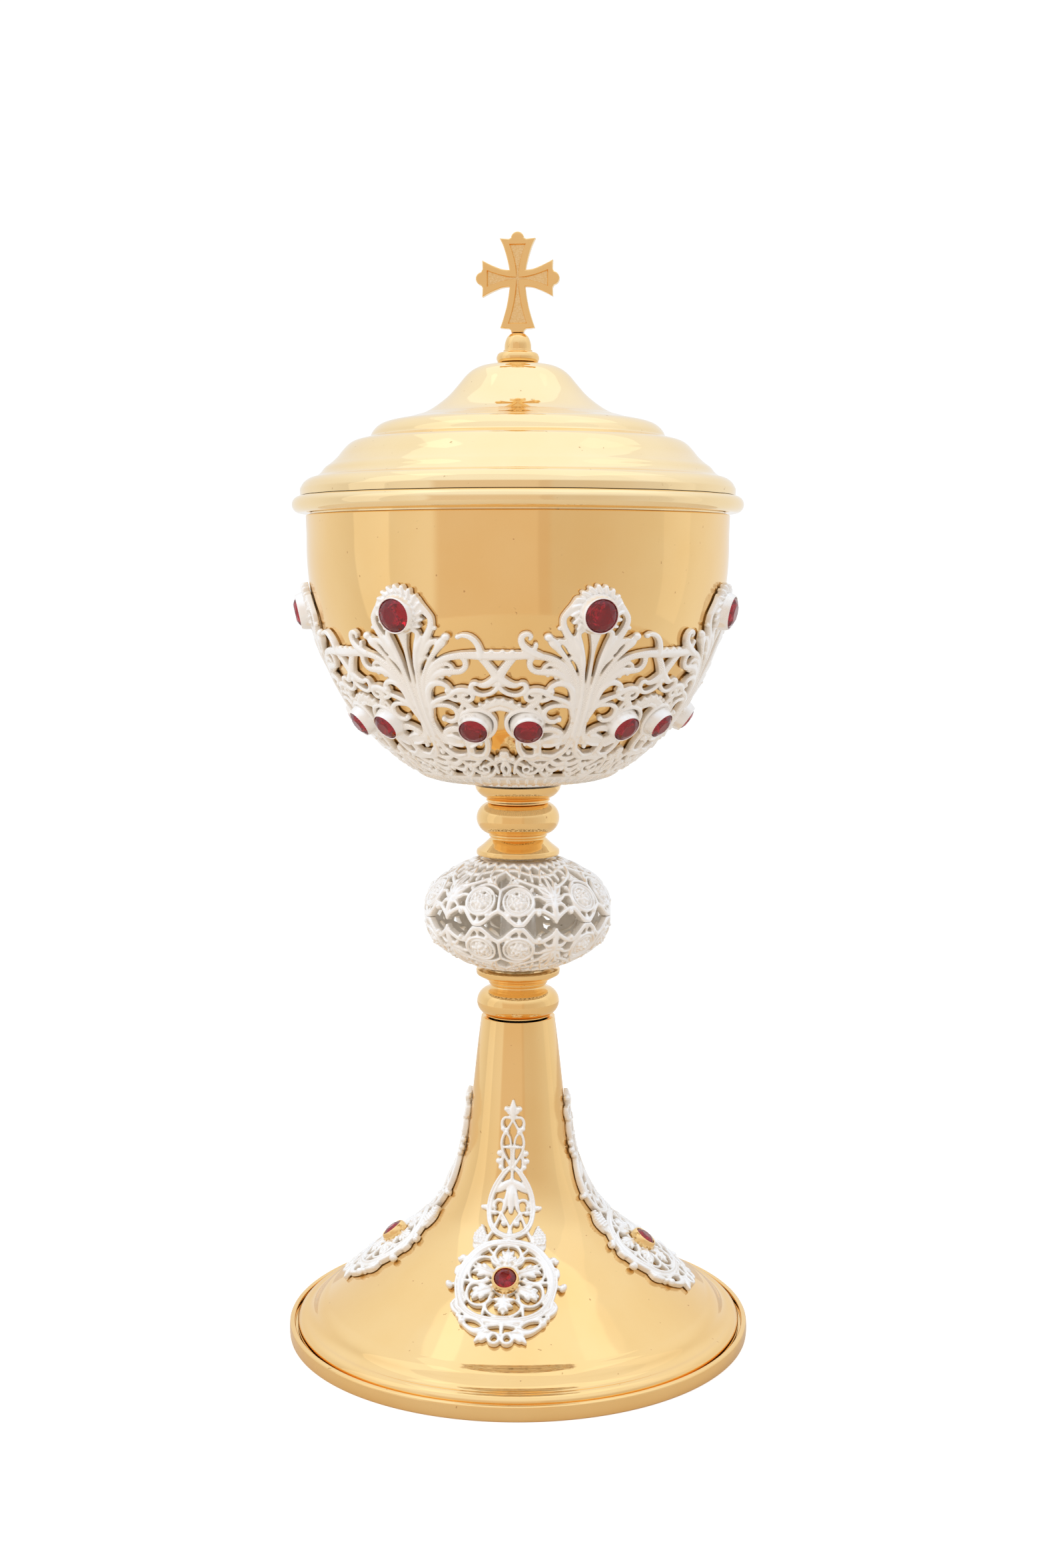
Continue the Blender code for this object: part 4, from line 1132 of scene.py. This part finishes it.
footBalls = [
    (15.2, 23.2, 1.1, 1.9), (10.4, 13.4, 1.1, 1.8), (1.7, 42.4, 0.85, 1.7), (4.2, 45.1, 0.75, 1.5),
    (7.5, 46.1, 0.75, 1.5), (1.3, 62.5, 0.62, 1.4), (2.5, 67.2, 0.8, 1.4), (1.6, 72.5, 0.85, 1.4),
    (3.4, 60.7, 0.9, 1.4), (3.6, 58.6, 0.95, 1.4), (3, 57, 0.8, 1.4), (1.6, 66.4, 0.7, 1.5),
    (4.3, 46.5, 0.6, 1.4), (13, 30.8, 0.7, 1.5), (13.4, 17.4, 0.8, 1.6), (2.1, 31.2, 0.65, 1.6),
    (4.9, 26.3, 0.6, 1.6), (3.5, 20.3, 0.65, 1.6),
]


def makeCastings():
    parts = []
    addStrokes(parts, footStrokes, 0)
    addStrokes(parts, footSpine)
    for x, y, radius, rise in footBalls:
        addBall(parts, x, y, radius, rise, 0)
    grapes = ((41.1, 1), (40.3, 2), (39.5, 3), (38.7, 4), (37.9, 4), (37.1, 4), (36.3, 3))
    for y, count in grapes:
        for k in range(count):
            aside = k - (count - 1) / 2
            addBall(parts, 7.3 + (41.1 - y) * 0.17 + aside * 0.92, y, 0.53, 1.75 - 0.06 * abs(aside), 0)
    seat = casting["seat"]
    addStroke(parts, oval(0, seat, 3.3, 3.3, 10), 1.2, 0.9)
    done, flat = castPanel(parts, "footPanel")
    base = bellLine()
    line, lengths = along(offsetLine(base, -casting["offset"]))
    atStone = np.interp(jewels["foot"]["height"], [z for r, z in base], lengths)
    flat = flat.copy()
    flat[:, 1] += atStone + casting["shift"] - seat
    flat[:, 2] *= casting["depth"]
    for number in range(1, 5):
        rows = around(line, lengths, flat, 0, 90 * (number - 1))
        wrapPanel(f"footCasting{number}", done, flat, rows, [f"foot_applique_{number}"])


makeCastings()
print("foot castings made")


# the pierced knop: a fifth of its upper half, drawn from its middle line, heights from the joint

knopStrokes = [
    (((0, 3.9), (1.5, 3.1), (3, 1.8), (4.5, 0.75), (5.7, 0.35), (7, 0.9), (8.6, 2.6), (10, 3.9),
     (11.8, 3.9), (13.6, 3.1), (15, 2.2), (16.2, 1.9)), (1.5, 1.4, 1.4, 1.5, 2, 1.5, 1.4, 1.4, 1.4, 1.4,
     1.4, 1.4), 1.5),
    (((5.7, 0.3), (5.7, 1.6)), (1.8, 1.2), 1.3),
    (((0, 9.3), (2.4, 10.7), (5, 11.1), (7.6, 10.1), (9.4, 8.1), (9.8, 6), (9.4, 4.6)), 1, 1.4),
    (((0, 16.8), (2.4, 14.9), (5.6, 13.2), (9, 11.6), (12.6, 10.2), (15.8, 9.6)), (1.4, 1.3, 1.3, 1.3,
     1.3, 1.3), 1.4),
    (((0.8, 9.8), (2.4, 11.6), (2.9, 13.4), (2.5, 14.8)), (0.9, 1, 1, 0.9), 1.2),
    (((2.8, 11.4), (4.2, 12.5), (5.4, 12.2)), (0.9, 1.5, 1), 1.3),
    (((15.7, 7), (15.7, 10), (15.7, 13.2)), (1.6, 1.7, 1.2), 1.7),
    (((15.4, 7.4), (14.4, 9.4), (13.4, 12.2)), (1.3, 1.4, 1), 1.5),
    (((15.2, 7), (13.4, 8.4), (11.9, 10.2)), (1.3, 1.5, 1), 1.4),
    (((15, 6.4), (13.2, 6.7), (11.7, 7.6), (10, 7.6)), (1.3, 1.4, 1.2, 1), 1.3),
    (((15.7, 7), (15.7, 4.6), (15.7, 1.2)), (1.8, 2.2, 1.4), 1.5),
    (((15, 5.2), (13.8, 5.4), (12.6, 4.6)), (1.2, 1.3, 1), 1.3),
    (((0, 17.2), (4, 17.4), (8, 16.2), (12, 14.8), (16, 14.2)), (1.8, 1.6, 1.4, 1.5, 1.8), 1.3),
    (((0, 18.8), (3, 20.2), (5.6, 18.6), (8.2, 20.2), (10.8, 18.4), (13.2, 19.8), (15.7, 18)), 2, 1.5),
    (((0, 21.6), (5, 21.8), (10.5, 21.6), (16.2, 21.6)), 2.8, 1),
    (((0, 24.2), (5, 24.2), (10.5, 24.2), (16.2, 24.2)), 3.2, 0.9),
    (((5.8, 14.6), (6, 16.4), (6.6, 18.2)), (1.3, 1.5, 1.5), 1.4),
    (((10.6, 12.6), (10.6, 14.6), (10.8, 16.6)), (1.3, 1.5, 1.5), 1.4),
    (((13.4, 12.4), (14.4, 15), (15.7, 16.6)), (1.2, 1.4, 1.5), 1.4),
]
medal = {"x": 5.4, "y": 6.3, "wide": 4.1, "high": 3.6, "pebbles": 17, "turn": 2.39996}
knop = {
    "radius": 25.2,
    "middle": 115.5,  # height of the joint
    "curve": 15.7,
    "cut": 14.9,
    "reach": 25,
    "turn": -6.8,
    "fifths": 5,
    "inset": 1.2,
}


def drawKnop():
    parts = []
    addStrokes(parts, knopStrokes, 0)
    addStroke(parts, ((0, 3.8), (0, 6.0), (0, 9.4)), (1.2, 1.1, 1.3), 1.4)
    cx, cy = medal["x"], medal["y"]
    for share, width, rise in ((1.0, 0.85, 1.5), (0.76, 0.6, 1.3)):
        wide, high = share * medal["wide"], share * medal["high"]
        addStroke(parts, oval(cx, cy, wide, high), width, rise, 0)
    addStroke(parts, ((cx - 1.4, cy), (cx + 1.4, cy)), 4.2, 0.7, 0)
    for k in range(medal["pebbles"]):
        angle = k * medal["turn"]
        reach = sqrt((k + 0.4) / medal["pebbles"])
        x, y = cx + 2.5 * reach * cos(angle), cy + 2.1 * reach * sin(angle)
        addBall(parts, x, y, 0.62 + 0.12 * (k % 3), 2.2 - 0.9 * reach + 0.15 * (k % 2), 0)
    for x, y in ((4.4, 12.8), (9.8, 9.6), (2.9, 2.6), (11.0, 3.1), (8.0, 12.9), (13.0, 11.0)):
        addBall(parts, x, y, 0.75, 1.5, 0)
    return parts


def makeKnop():
    done, flat = castPanel(drawKnop(), "knopPanel")
    section = [(knop["radius"] * cos(a), knop["curve"] * sin(a)) for a in np.linspace(0, 1.28, 200)]
    section = [p for p in section if p[1] <= knop["cut"]]
    base = [(r - cos(atan2(z, r)), z - knop["inset"] * sin(atan2(z, r))) for r, z in section]
    line, lengths = along(base)
    flat = flat.copy()
    flat[:, 1] = np.clip(flat[:, 1], 0.05, None)
    for part, way in (("Upper", 1), ("Lower", -1)):
        bm = bmesh.new()
        for fifth in range(knop["fifths"]):
            turn = knop["turn"] + 360 * fifth / knop["fifths"]
            rows = around(line, lengths, flat, knop["reach"], turn)
            rows[:, 2] = knop["middle"] + way * rows[:, 2]
            copy = wrapped(done, rows, flat, 1.9)
            if way < 0:
                copy.flip_normals()
            bm.from_mesh(copy)
            bpy.data.meshes.remove(copy)
        mesh = meshOf(f"knop{part}", bm)
        mesh.polygons.foreach_set("use_smooth", [True] * len(mesh.polygons))
        placePiece(f"knop{part}", mesh, silverCast, "vessel", [f"knop_{part.lower()}"])


makeKnop()
print("knop made")


# plain parts that keep their turned shape

def dress(node, look):
    nodes[node].data.materials.clear()
    nodes[node].data.materials.append(look)


for nodeName in ("tie_rod", "clamp_washer", "clamp_nut"):
    dress(nodeName, steel)
dress("knop_core", silverPlain)
dress("finial_nut", goldSmall)
dress("cross_pin", goldSmall)
print("plain parts dressed")
